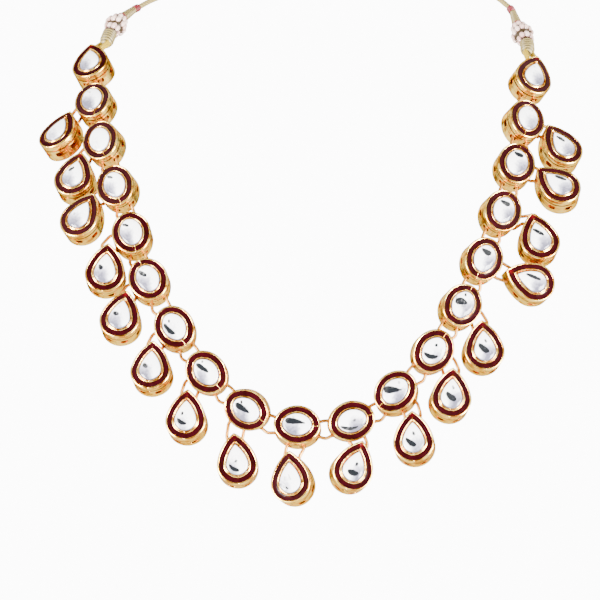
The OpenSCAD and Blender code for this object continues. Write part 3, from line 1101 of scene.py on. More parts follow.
@dataclass
class GoldSetting:
    """One soldered gold setting: pierced gallery, groove, enamel channel and foil bezel.

    A window's panel is wider than the window by the share panel_share. Its edge and the
    window's have round_window points each. Strips between panels have across_panel columns,
    or across_tip on a teardrop, whose tip one of them passes.
    """

    gallery: Gallery
    finish: bpy.types.Material
    under: float = 1.1
    pole_in: float = 4.4
    girth_r: float = 6.2
    panel_share: float = 1.22
    round_window: int = 24
    across_panel: int = 3
    across_tip: int = 10
    seam_r: float = 0.09
    seam_sway: float = 0.12
    seam_in: float = 0.42
    seam_over: float = 0.12
    drop_seam_in: float = 0.6
    drop_seam_sunk: float = 0.3

    def rings(self, seat: Seat, profile: np.ndarray, uneven: np.ndarray | float) -> np.ndarray:
        """Carries a profile round the outline: each point is an inset and a height.

        Args:
            seat: The setting.
            profile: Insets and heights, a row a point.
            uneven: How far each profile point wavers, in millimetres.

        Returns:
            Points by profile point, by place round the outline, in the setting's own frame.
        """
        turn = self.gallery.outline.turns(seat.kind)
        wave = waver(turn, seat.seed, 1.0)[None, :] * np.reshape(uneven, (-1, 1))
        flat = self.gallery.outline.point(seat.kind, turn[None, :], profile[:, :1] + wave)
        height = np.broadcast_to(profile[:, 1:] + 0.5 * np.roll(wave, 9, axis=1), flat.shape[:2])
        return np.concatenate([flat, height[..., None]], axis=-1)

    def skin(self, local: np.ndarray) -> np.ndarray:
        """Where a point lies on its wall, for the file's strokes.

        Args:
            local: Points in the setting's own frame.

        Returns:
            Way round, height plus distance from the middle, and that distance, in millimetres.
        """
        turn = np.arctan2(local[:, 1], local[:, 0])
        away = np.hypot(local[:, 0], local[:, 1])
        return np.stack([self.girth_r * turn, local[:, 2] + away, away], axis=1)

    def cup(self, seat: Seat) -> Shell:
        """Groove, cup, rim, channel, bezel and floor, as one profile carried round.

        Args:
            seat: The setting.

        Returns:
            A surface closed by a pole under the cup and one under the stone.
        """
        g = self.gallery
        w = g.channel_in + g.bezel_w(seat.kind)
        ridge = g.channel_in + 0.2
        low, pole = self.under, self.pole_in
        # Each row is an inset, a height, how far it wavers, and how much painted shade it gets
        rows = [
            (pole, low, 0, 0.5), (2.0, low, 0, 0.5), (0.6, low, 0, 0.6), (0.45, 1.2, 0, 1),
            (0.42, g.top, 0, 1), (0.45, 1.5, 0, 1), (0.42, g.cup_low - 0.04, 0, 1),
            (0.06, g.cup_low, 0, 0.5), (0.0, g.cup_low + 0.07, 0.02, 0), (0.0, 2.4, 0.03, 0),
            (0.0, 3.2, 0.03, 0), (0.05, g.rim - 0.2, 0.03, 0), (0.15, g.rim - 0.06, 0.03, 0),
            (0.27, g.rim + 0.02, 0.03, 0), (0.4, g.rim + 0.03, 0.04, 0),
            (0.53, g.rim - 0.03, 0.04, 0), (0.6, g.rim - 0.12, 0.04, 0.3),
            (0.63, g.rim - 0.3, 0.04, 0.7), (0.63, g.seat + 0.1, 0.04, 1),
            (2.0, g.seat + 0.1, 0.05, 1), (2.0, g.rim - 0.1, 0.07, 0.4),
            (2.02, g.rim + 0.12, 0.07, 0.1), (2.08, g.crest - 0.06, 0.06, 0),
            (ridge, g.crest, 0.05, 0),
        ]  # fmt: skip
        # The foil's fold, a fine valley along the bezel, and the slope down to the stone
        if seat.kind is Kind.OVAL:
            rows += [
                (ridge + 0.09, g.crest - 0.05, 0.04, 0.2),
                (ridge + 0.14, g.crest - 0.16, 0.04, 0.9),
                (ridge + 0.19, g.crest - 0.05, 0.05, 0.2),
                (w - 0.1, g.crest - 0.04, 0.05, 0),
            ]
        else:
            rows += [
                (ridge + 0.1, g.crest - 0.06, 0.04, 0.2),
                (ridge + 0.2, g.crest - 0.2, 0.04, 0.9),
                (ridge + 0.3, g.crest - 0.06, 0.05, 0.2),
                (w - 0.14, g.crest - 0.03, 0.05, 0),
            ]
        rows += [
            (w - 0.02, g.crest - 0.16, 0.04, 0.8), (w, g.rim, 0.02, 1),
            (w, g.seat, 0.0, 1), (pole, g.seat, 0, 1),
        ]  # fmt: skip
        table = np.array(rows)
        rings = self.rings(seat, table[:, :2], table[:, 2])
        shell = sleeve(rings, closed=False)
        hollow = np.concatenate([np.repeat(table[:, 3], rings.shape[1]), [0.5, 1.0]])
        return shell.marked(hollow=hollow)

    def lip(self, seat: Seat) -> Shell:
        """The flat ring that closes in the gallery's back edge.

        Args:
            seat: The setting.

        Returns:
            A closed ring of six points to a profile, its inner edge softened.
        """
        g = self.gallery
        low, high, w = g.low, g.low + g.lip_t, g.lip_w
        profile = np.array(
            [(0.5, low), (w - 0.08, low), (w, low + 0.08), (w, low + 0.34), (w - 0.06, high),
             (0.5, high)]
        )  # fmt: skip
        shell = sleeve(self.rings(seat, profile, 0.0), closed=True)
        each = len(shell.points) // len(profile)
        # Painted shade on the lip's inner edge and its side towards the gallery
        return shell.marked(hollow=np.repeat([0.0, 0.0, 0.1, 0.3, 0.4, 0.5], each))

    def wall(self, seat: Seat) -> Shell:
        """The gallery's wall, pierced by its windows.

        Each window sits in a panel whose grid runs from the panel's square edge to the
        window's rounded edge; plain strips fill the wall between the panels. The outer and
        inner faces share that grid and are joined along every free edge. A grid point is an
        angle round the outline and a height.

        Args:
            seat: The setting.

        Returns:
            The wall as one closed surface, with painted shade inside and a little at the windows.
        """
        g = self.gallery
        middles, half = g.windows(seat.kind)
        reach = half * self.panel_share
        ring = np.arange(self.round_window) * TURN / self.round_window
        way = np.stack([np.cos(ring), np.sin(ring)], axis=1)
        square = way / np.abs(way).max(axis=1, keepdims=True)
        eased = way / (np.abs(way) ** 4).sum(axis=1, keepdims=True) ** 0.25
        steps = np.array([0.0, 0.6, 1.0])[:, None, None]
        size = g.window_h / 2 / g.top
        one = (1 - steps) * square + steps * eased * np.array([1 / self.panel_share, size])
        panels = middles[:, None, None, None] * np.array([1.0, 0]) + one[None] * np.stack(
            [reach, np.full_like(reach, g.top)], axis=1
        )[:, None, None, :]
        cells = grid_quads(len(steps), self.round_window, False, True)
        flat = [panels.reshape(-1, 2)]
        order = np.arange(len(middles))[:, None, None]
        faces = [(cells[None] + len(steps) * self.round_window * order).reshape(-1, 4)]
        # The strips' points stand where a panel's upright edge has its own
        heights = g.top * np.tan(np.radians([-45, -30, -15, 0, 15, 30, 45]))
        start, end = middles + reach, np.roll(middles - reach, -1)
        end[-1] += TURN
        count = self.across_tip if seat.kind is Kind.TEARDROP else self.across_panel
        t = np.linspace(0, 1, count + 1)[None, :, None]
        turns = start[:, None, None] * (1 - t) + end[:, None, None] * t
        strips = np.stack(np.broadcast_arrays(turns, heights[None, None, :]), axis=-1)
        begin = len(flat[0])
        cells = grid_quads(count + 1, len(heights), False, False)
        flat.append(strips.reshape(-1, 2))
        each = len(heights) * (count + 1)
        faces.append((cells[None] + begin + each * order).reshape(-1, 4))
        grid, quads = np.concatenate(flat), np.concatenate(faces)
        # Points of panels and strips that fall together are merged
        grid[:, 0] = (grid[:, 0] + math.pi + 1e-6) % TURN - math.pi
        keys = np.round(grid / [2e-4, 2e-3]).astype(int)
        _, first, merged = np.unique(keys, axis=0, return_index=True, return_inverse=True)
        grid, quads = grid[first], merged.reshape(-1)[quads]
        n = len(grid)
        edges = np.stack([quads, np.roll(quads, -1, axis=1)], axis=-1).reshape(-1, 2)
        free = edges[~np.isin(edges[:, 0] * n + edges[:, 1], edges[:, 1] * n + edges[:, 0])]
        jambs = np.stack([free[:, 1], free[:, 0], free[:, 0] + n, free[:, 1] + n], axis=1)
        # The lowest points go on down to the back edge, as the gallery's plain foot
        grid[:, 1] = np.where(grid[:, 1] < g.foot + 0.01, g.low, grid[:, 1])
        outer = g.outline.point(seat.kind, grid[:, 0], waver(grid[:, 0], seat.seed, 0.02))
        inner = g.outline.point(seat.kind, grid[:, 0], g.wall)
        points = np.concatenate(
            [np.column_stack([outer, grid[:, 1]]), np.column_stack([inner, grid[:, 1]])]
        )
        shell = Shell(points, np.concatenate([quads, quads[:, ::-1] + n, jambs])).outward()
        # Painted shade: a little along the windows' edges, more on the inner face
        edge = np.isin(np.arange(n), free.ravel()) & (np.abs(grid[:, 1]) < g.top - 0.1)
        return shell.marked(hollow=np.concatenate([np.where(edge, 0.35, 0.0), np.full(n, 0.5)]))

    def seam(self, seat: Seat) -> Shell:
        """The bright foil edge that crosses the enamel at one end, a thin bowed ridge.

        It runs inward from the rim to a little past the bezel's edge, sways once on its way,
        and rises at its end. On a teardrop it lies mostly under the enamel.

        Args:
            seat: The setting.

        Returns:
            A thin closed tube.
        """
        g = self.gallery
        t = np.linspace(0, 1, 12)[:, None]
        inset, sunk = self.seam_in, 0.0
        if seat.kind is Kind.TEARDROP:
            inset, sunk = self.drop_seam_in, self.drop_seam_sunk
        length = g.channel_in + self.seam_over - self.seam_in
        x = seat.seam * (g.outline.outer(seat.kind) - inset - t * length)
        y = self.seam_sway * np.sin(seat.seed + 4 * t) * np.sin(math.pi * t)
        z = g.rim - 0.06 - sunk + (0.1 + sunk) * t**6
        path = np.concatenate([x, y, z], axis=1)
        return tube(path, self.seam_r, 8, False, np.array([0.0, 1.0, 0.0])).marked(hollow=0.0)

    def build(self, seat: Seat) -> bpy.types.Object:
        """Makes the setting and stands it in its seat.

        Args:
            seat: The setting, named as its solid is.

        Returns:
            The piece, which stands for that solid.
        """
        shells = [self.cup(seat), self.lip(seat), self.wall(seat), self.seam(seat)]
        for shell in shells:
            shell.marked(skin=self.skin(shell.points) + seat.seed)
        whole = Shell.joined(shells)
        whole.points = seat.place(whole.points)
        return make_piece(f"setting_{seat.name}", whole, self.finish, [seat.name])


# Share by which the enamel lies thin, and so looks redder, at a drop's tip
THIN_TIPS = {
    "drop_right_1": 0.9, "drop_right_2": 0.35, "drop_right_3": 0.3, "drop_right_4": 0.35,
    "drop_right_5": 0.9, "drop_right_6": 0.7, "drop_left_1": 0.2, "drop_left_2": 0.25,
    "drop_left_4": 0.8, "drop_left_7": 0.5, "case_left_9": 0.6, "case_right_9": 0.5,
}  # fmt: skip


@dataclass
class EnamelFill:
    """The enamel in every channel of the chain, or of the drops."""

    gallery: Gallery
    finish: bpy.types.Material
    thin_oval: float = 0.12
    thin_drop: float = 0.1

    def fill(self, seat: Seat) -> Shell:
        """A closed ring: its face dips between edges that creep unevenly over the gold.

        Args:
            seat: The setting.

        Returns:
            The ring in the row frame, marked thin towards the seam or the tip.
        """
        o = self.gallery.outline
        turn = o.turns(seat.kind)
        # Insets and heights, and how far each point creeps aside and lifts with the notches
        profile = np.array(
            [(0.64, 2.7), (0.62, 3.46), (0.58, 3.54), (0.75, 3.55), (1.12, 3.53), (1.5, 3.53),
             (1.82, 3.57), (1.98, 3.61), (1.99, 2.7)]
        )  # fmt: skip
        creep = np.array([0, 0.05, 0.07, 0.04, 0, 0, 0.03, 0.05, 0.0])
        lift = np.array([0, 0.0, 0.02, 0.02, 0.03, 0.03, 0.02, 0.02, 0.0])
        notch = waver(turn, seat.seed + 3, 1.0) + 0.5 * waver(turn * 3, seat.seed + 9, 1.0)
        inset = profile[:, :1] + creep[:, None] * notch
        height = profile[:, 1:] + lift[:, None] * np.roll(notch, 5)
        flat = o.point(seat.kind, turn[None, :], inset)
        local = np.concatenate([flat, height[..., None]], axis=-1)
        shell = sleeve(local, closed=True)
        p = shell.points
        # Within 1.1 mm of the length axis, and the more so the nearer to the end
        end = seat.seam * p[:, 0] - (o.outer(seat.kind) - 1.6)
        thin = np.clip(1 - np.abs(p[:, 1]) / 1.1, 0, 1) * np.clip(end + 0.8, 0, 1)
        tip = THIN_TIPS.get(seat.name, self.thin_drop)
        strength = self.thin_oval if seat.kind is Kind.OVAL else tip
        shell.marked(thin=strength * thin, skin=p + 3 * seat.seed)
        shell.points = seat.place(p)
        return shell

    def build(self, name: str, seats: list[Seat], replaced: str) -> bpy.types.Object:
        """Makes the enamel of several settings as one piece.

        Args:
            name: The piece's name.
            seats: The settings.
            replaced: The solid that it stands for.

        Returns:
            The piece.
        """
        whole = Shell.joined([self.fill(s) for s in seats])
        return make_piece(name, whole, self.finish, [replaced])


def soft_step(low: float, high: float, value: np.ndarray) -> np.ndarray:
    """From 0 at low to 1 at high, which may lie below it, with a gentle start and end."""
    t = np.clip((value - low) / (high - low), 0, 1)
    return t * t * (3 - 2 * t)


@dataclass(frozen=True)
class PaintedReflection:
    """A painted dark reflection on a stone, as it is seen from the front, in millimetres.

    It lies right and up of the stone's middle, rises to the right by tilt degrees, bulges
    upward of its ends by bow, and narrows towards its right end by the share taper. It is as
    dark as dark says, from 0 to 1.
    """

    right: float = 0.0
    up: float = 2.4
    length: float = 1.2
    width: float = 0.2
    tilt: float = -20.0
    bow: float = 0.0
    taper: float = 0.0
    dark: float = 0.4

    def shade(self, right: np.ndarray, up: np.ndarray) -> np.ndarray:
        """How dark the painted reflection is at points.

        It is full within half its width times the root of one less the square of the share
        along it, and fades out over half a millimetre at that edge.

        Args:
            right: How far the points lie to the right of the stone's middle.
            up: How far they lie above it.

        Returns:
            From 0, none, to dark.
        """
        turn = math.radians(self.tilt)
        x, y = right - self.right, up - self.up
        along = (x * math.cos(turn) + y * math.sin(turn)) / (self.length / 2)
        aside = y * math.cos(turn) - x * math.sin(turn) - self.bow * (1 - along**2)
        half = 0.62 * self.width * np.sqrt(np.clip(1 - along**2, 0, 1)) * (1 - self.taper * along)
        inside = soft_step(-0.4, 0.08, half - np.abs(aside))
        return self.dark * inside * soft_step(1.15, 0.95, np.abs(along))


# Painted dark reflections on each stone: right, up, length, width, tilt, bow, taper, dark
PAINTED_REFLECTIONS = {
    name: [PaintedReflection(*row) for row in rows]
    for name, rows in {
        "case_middle": [(-0.6, 0.8, 5.8, 1.1, -8, 0.1, 0.7, 1.0), (-1.1, 2.2, 0.9, 0.3, -10, 0, 0, 0.6)],
        "case_right_1": [(-0.8, -1.6, 5.0, 0.7, 0, -0.6, 0.2, 0.9), (0.6, 0.2, 1.1, 0.45, 40, 0, 0, 0.7)],
        "case_right_2": [(-0.7, 0.4, 5.2, 1.3, 0, 0, 0.8, 1.0), (1.1, 2.4, 0.8, 0.5, 60, 0, 0, 0.6)],
        "case_right_3": [(-0.9, -1.1, 4.2, 1.0, -15, -0.6, 0, 1.0), (0.7, 1.6, 1.0, 0.5, 60, 0, 0, 0.9)],
        "case_right_4": [(-0.5, 0.8, 3.6, 1.5, -12, 0.2, 0.3, 0.9), (0.8, 2.9, 0.7, 0.6, 0, 0, 0, 0.9),
                         (-2.0, 1.6, 2.2, 0.3, 75, 0, 0, 0.6), (-0.4, -0.3, 2.6, 1.2, -20, 0, 0, 0.45)],
        "case_right_5": [(0.6, 2.1, 3.2, 1.1, -32, -0.2, -0.5, 1.0), (1.4, 3.0, 0.6, 0.4, 0, 0, 0, 0.4)],
        "case_right_6": [(0.5, 2.2, 3.1, 0.9, -28, -0.1, -0.4, 1.0)],
        "case_right_7": [(0.6, 2.5, 3.0, 0.9, -27, -0.1, -0.3, 1.0)],
        "case_right_8": [(0.9, 2.6, 1.5, 0.3, -30, 0, 0, 0.5)],
        "case_right_9": [(0.0, 2.7, 1.0, 0.3, -30, 0, 0, 0.5)],
        "case_left_1": [(-1.1, 0.5, 4.8, 1.1, -33, 0, 0.5, 1.0), (-1.3, 2.3, 0.7, 0.6, 0, 0, 0, 1.0),
                        (0.9, 2.2, 1.6, 0.2, -35, 0, 0, 0.35)],
        "case_left_2": [(-1.1, 1.2, 4.2, 0.9, -34, 0, 0.2, 1.0), (-1.1, 3.0, 0.5, 0.5, 0, 0, 0, 0.8)],
        "case_left_3": [(-1.3, -0.6, 4.4, 1.0, -42, -0.5, 0, 1.0), (-1.5, 1.6, 0.6, 0.6, 0, 0, 0, 0.9)],
        "case_left_4": [(-1.6, 1.4, 2.9, 0.8, -31, 0, -0.1, 0.9), (-1.6, 2.9, 0.6, 0.4, 30, 0, 0, 0.5)],
        "case_left_5": [(-1.6, 2.0, 2.0, 0.5, -12, 0, 0.2, 0.9)],
        "case_left_6": [(-1.4, 2.3, 1.9, 0.5, -12, 0, 0.2, 0.8)],
        "case_left_7": [(0.0, 3.6, 1.4, 0.2, 0, 0, 0, 0.4)],
        "case_left_8": [(-1.0, 2.3, 1.3, 0.3, -14, 0, 0, 0.6)],
        "case_left_9": [(-0.4, 2.6, 0.8, 0.2, -20, 0, 0, 0.3)],
        "drop_middle": [(-1.6, -1.8, 2.6, 0.45, -32, -0.2, 0, 0.9), (-1.6, 0.3, 1.2, 0.3, 75, 0, 0, 0.5),
                        (-0.2, 0.9, 1.8, 0.25, -65, 0, 0, 0.5)],
        "drop_right_1": [(-0.3, -1.1, 3.2, 1.2, -18, -0.2, 0, 1.0), (0.8, 1.1, 1.3, 0.45, 75, 0, 0, 0.9)],
        "drop_right_2": [(-0.7, -0.7, 3.6, 1.0, -35, -0.3, -0.2, 1.0), (0.1, 1.7, 1.3, 0.4, -65, 0, 0, 0.8)],
        "drop_right_3": [(-0.2, -0.2, 3.6, 1.2, -40, -0.2, -0.2, 1.0), (0.5, 2.3, 1.2, 0.4, -70, 0, 0, 0.8)],
        "drop_right_4": [(-0.3, 0.0, 3.8, 1.2, -40, -0.2, -0.2, 1.0), (0.3, 2.0, 1.2, 0.4, -65, 0, 0, 0.8)],
        "drop_right_5": [(0.0, 1.2, 4.6, 0.65, -22, 0, 0, 1.0)],
        "drop_right_6": [(-0.4, 1.8, 3.8, 0.65, -29, 0, 0, 1.0)],
        "drop_right_7": [(0.4, 1.9, 3.6, 0.6, -22, 0, 0, 1.0)],
        "drop_right_8": [(-0.7, 2.0, 3.0, 0.55, -33, 0, 0, 0.9), (-2.2, 0.3, 0.8, 0.6, 70, 0, 0, 0.35)],
        "drop_left_1": [(-0.8, -1.6, 3.5, 0.8, -32, -0.4, -0.2, 1.0), (-0.3, 0.2, 0.7, 0.6, -50, 0, 0, 0.7)],
        "drop_left_2": [(-1.1, -1.0, 3.1, 0.8, -30, -0.4, 0, 1.0), (-0.9, 1.2, 1.0, 0.4, 80, 0, 0, 0.9)],
        "drop_left_3": [(-1.5, 0.5, 1.7, 0.8, -30, 0, 0.2, 0.9), (-0.8, 2.3, 0.9, 0.3, 60, 0, 0, 0.4)],
        "drop_left_4": [(-1.1, 0.8, 1.8, 0.8, -15, 0, 0, 0.9), (-0.1, 2.8, 0.5, 0.4, 0, 0, 0, 0.5)],
        "drop_left_5": [(-1.3, 0.9, 1.7, 0.9, -58, 0, -0.3, 0.9), (-0.6, 2.6, 1.2, 0.25, 60, 0, 0, 0.35)],
        "drop_left_6": [(-1.5, 0.8, 0.9, 0.5, 20, 0, 0, 0.6)],
        "drop_left_7": [(-0.6, 2.0, 2.1, 0.5, 35, 0, 0, 0.9)],
        "drop_left_8": [(-1.0, 1.0, 0.9, 0.3, 30, 0, 0, 0.3)],
    }.items()
}  # fmt: skip


# Depth of the painted grey shade and reflection on a stone, where it isn't that of the class
SHADE_VEILS = {
    "case_left_7": 0.15, "case_left_8": 0.95, "case_left_3": 0.4, "case_right_3": 0.45,
    "case_right_8": 0.6, "drop_middle": 0.35, "drop_left_1": 0.5, "drop_left_2": 0.4,
    "drop_left_8": 0.45, "drop_right_2": 0.6,
}  # fmt: skip


@dataclass
class Stones:
    """The domed white stones of the chain, or of the drops."""

    gallery: Gallery
    finish: bpy.types.Material
    crown: float = 4.55
    edge: float = 3.7
    gap: float = 0.02
    drop_centre: float = 0.8
    # Depth of the painted grey shade and reflection, on the outward lower side and at the edge
    veil: float = 0.8
    edge_veil: float = 0.9

    def stone(self, seat: Seat) -> Shell:
        """A pillowed dome, whose rings are shares of its edge about its centre.

        A ring's height is the edge's plus the rise times the root of one less the cube of
        its share. A grey of painted shade and reflection lies on the outward and lower side and
        along the edge.

        Args:
            seat: The setting.

        Returns:
            The stone in the row frame, with its marks of painted shade and painted reflection.
        """
        g, o = self.gallery, self.gallery.outline
        turn = o.turns(seat.kind)
        rim = o.point(seat.kind, turn, g.channel_in + g.bezel_w(seat.kind) + self.gap)
        centre = np.array([0.0 if seat.kind is Kind.OVAL else self.drop_centre, 0.0])
        inward = np.cos(np.linspace(0, math.pi / 2, 38)[4:-1]) ** 0.8
        share = np.concatenate([[1.0, 1.0, 0.985], inward])
        height = self.edge + (self.crown - self.edge) * np.sqrt(1 - share**3)
        height[0] = g.seat + 0.1
        flat = centre + share[:, None, None] * (rim - centre)[None]
        z = np.broadcast_to(height[:, None, None], (*flat.shape[:2], 1))
        shell = sleeve(np.concatenate([flat, z], axis=-1), closed=False)
        p = shell.points
        middle = np.append(centre, self.edge)
        seen = (p - middle) @ np.stack([seat.along, seat.across, seat.normal])
        right, up = seen[:, 0], seen[:, 2]
        # Painted dark reflections, as listed for each stone
        marks = PAINTED_REFLECTIONS.get(seat.name, [PaintedReflection()])
        fleck = np.max([mark.shade(right, up) for mark in marks], axis=0)
        # Painted shade and reflection: grey outward of the middle and low on the face, most where both meet
        outward = right if seat.at[0] > 0 else -right
        sway = 0.3 * math.sin(seat.seed)
        veil = soft_step(-1.7, 1.1, outward + sway) * soft_step(2.4, -1.2, up)
        veil = veil * (0.72 + 0.28 * soft_step(0.4, -3.2, up)) + 0.35 * soft_step(-2.2, -4.2, up)
        # Painted shade along the edge, where the stone meets the bezel
        edge = np.repeat(soft_step(0.93, 0.975, share), len(turn))
        edge = np.concatenate([edge, [1.0, 0.0]])
        veil = np.maximum(SHADE_VEILS.get(seat.name, self.veil) * veil, self.edge_veil * edge)
        shell.marked(veil=veil, fleck=fleck)
        shell.points = seat.place(p)
        return shell

    def build(self, name: str, seats: list[Seat], replaced: str) -> bpy.types.Object:
        """Makes the stones of several settings as one piece.

        Args:
            name: The piece's name.
            seats: The settings.
            replaced: The solid that they stand for.

        Returns:
            The piece.
        """
        whole = Shell.joined([self.stone(s) for s in seats])
        return make_piece(name, whole, self.finish, [replaced])


@dataclass
class Links:
    """The gold wire rings that join the settings through their windows.

    The wire is drawn thicker than the real one, which would vanish before a white ground.
    Windows are numbered as Gallery gives them.
    """

    layout: Layout
    finish: bpy.types.Material
    wire: float = 1.0
    sides: int = 10
    hook: float = 0.95
    bend: float = 0.8
    bow: float = 0.8
    upper_bow: float = 0.1
    spread: float = 0.48
    rise: float = 2.3
    least_rise: float = 0.5
    start: float = 0.7
    dull: float = 0.15

    def holes(self, seat: Seat, pair: tuple[int, int]) -> np.ndarray:
        """Middles of two windows of a seat, by their numbers, in the row frame."""
        local = [np.append(self.layout.gallery.hole(seat.kind, i), 0.0) for i in pair]
        return seat.place(np.stack(local))

    def near(self, seat: Seat, towards: np.ndarray) -> np.ndarray:
        """The end windows of a chain seat on the side that faces a point.

        Args:
            seat: The setting.
            towards: The point.

        Returns:
            Their two middles.
        """
        if seat.kind is Kind.TEARDROP:
            return self.holes(seat, (0, 7))
        return self.holes(seat, (3, 4) if (towards - seat.at) @ seat.along > 0 else (0, 7))

    def chain_link(self, a: Seat, b: Seat) -> Shell:
        """A ring through the end windows of two neighbours, its lower wire bowed outward.

        Args:
            a: One setting.
            b: The next one outward.

        Returns:
            The ring.
        """
        foot, head = self.near(a, b.at), self.near(b, a.at)
        if (foot[1] - foot[0]) @ (head[1] - head[0]) < 0:
            head = head[::-1]
        run = self.hook * unit(head - foot)
        middle = (foot + head) / 2
        beside = unit(middle[1] - middle[0])
        lower = middle[:, 2] < middle[::-1, 2]
        out = np.where(lower, self.bow, self.upper_bow)[:, None] * np.array([[-1], [1]])
        bow = middle + out * beside
        corners = np.stack(
            [foot[0] - run[0], foot[0] + run[0] / 2, bow[0], head[0] - run[0] / 2, head[0] + run[0],
             head[1] + run[1], head[1] - run[1] / 2, bow[1], foot[1] + run[1] / 2, foot[1] - run[1]]
        )  # fmt: skip
        line, up = bent(corners, self.bend), a.normal + b.normal
        return tube(line, self.wire / 2, self.sides, True, up)

    def drop_link(self, parent: Seat, drop: Seat) -> Shell:
        """A ring from an oval's side windows to a drop's tip windows, its legs spread.

        Each leg has a knee as far above the drop as the leg has to cross, within limits.

        Args:
            parent: The oval.
            drop: The drop under it.

        Returns:
            The ring.
        """
        tip = drop.at + drop.along * self.layout.gallery.outline.tip_reach
        hand = 1 if (tip - parent.at) @ parent.across > 0 else -1
        side = hand * parent.across
        foot = self.holes(parent, (6, 5) if hand > 0 else (1, 2))
        head = self.holes(drop, (4, 3))
        beside = drop.across
        if (foot[1] - foot[0]) @ beside < 0:
            foot = foot[::-1]
        if (head[1] - head[0]) @ beside < 0:
            head = head[::-1]
        crossing = np.array([1.0, -1.0]) * ((foot - head) @ beside)
        rise = np.clip(crossing, self.least_rise, self.rise)[:, None]
        spread = self.spread * np.array([[-1.0], [1.0]]) * beside
        legs = [
            foot - self.hook * side, foot + self.start * side + spread,
            head + rise * drop.along + spread, head - self.hook * drop.along,
        ]  # fmt: skip
        corners = np.stack([leg[0] for leg in legs] + [leg[1] for leg in legs[::-1]])
        line, up = bent(corners, self.bend), parent.normal + drop.normal
        return tube(line, self.wire / 2, self.sides, True, up)

    def build(self) -> list[bpy.types.Object]:
        """Makes the links.

        Returns:
            The piece of the chain's links, and that of the drops' links.
        """
        layout = self.layout
        rows = [[layout.middle, *layout.right], [layout.middle, *layout.left]]
        chain = [self.chain_link(a, b) for row in rows for a, b in zip(row, row[1:])]
        drops = [self.drop_link(a, b) for a, b in layout.pairs]
        made = []
        for name, links in (("chain_links", chain), ("drop_links", drops)):
            # An even share of the gold's shade tint all along the wire: its own duller colour, not shade
            whole = Shell.joined([link.marked(hollow=self.dull) for link in links])
            made.append(make_piece(name, whole, self.finish, [name]))
        return made


# Cord and its ends


def revolved(line: np.ndarray, radius: np.ndarray, sides: int) -> Shell:
    """A round form about a straight line.

    Args:
        line: Points along the line.
        radius: The radius at each of them.
        sides: Number of points round it.

    Returns:
        The closed surface.
    """
    ahead = line[-1] - line[0]
    up = np.array([0.0, 0.0, 1.0]) if abs(unit(ahead)[2]) < 0.95 else np.array([1.0, 0.0, 0.0])
    return tube(line, radius[:, None], sides, False, up)


@dataclass(frozen=True)
class NeckRoute:
    """Where the cord and its ends run, in millimetres: the same points as in the part's source."""

    left: tuple[tuple[float, float, float], ...] = (
        (-64, -57.5, -30.5), (-62.7, -53, -26), (-59.6, -47, -21), (-56, -41, -17.5),
        (-54.5, -39, -16.5),
    )  # fmt: skip
    right: tuple[tuple[float, float, float], ...] = (
        (67.5, -67, -34), (67.6, -62, -30), (65.5, -53, -24), (64.4, -47, -19), (63.5, -45, -17.2),
    )  # fmt: skip
    between: tuple[tuple[float, float, float], ...] = (
        (-50.5, -32.5, -13.5), (-45, -24.5, -10.5), (-38.5, -16.5, -7.8), (-31, -10, -5.4),
        (-23, -4.5, -3.2), (-15, -0.5, -1.5), (-8, 1.8, -0.4), (-3.5, 2.5, 0), (3.5, 2.5, 0),
        (8, 1.8, -0.2), (15, -0.3, -0.8), (23, -4, -1.8), (31, -9, -3), (39, -15.5, -4.6),
        (46.5, -23, -6.6), (53, -30.5, -9.2), (59, -37.6, -12.6),
    )  # fmt: skip

    def end(self, side: str) -> np.ndarray:
        """Points of one cord end, from the chain upward."""
        return np.array(self.left if side == "left" else self.right, float)

    def cord(self) -> np.ndarray:
        """The cord's own points, from the left end round the back to the right end."""
        return np.array([self.left[-1], *self.between, self.right[-1]], float)


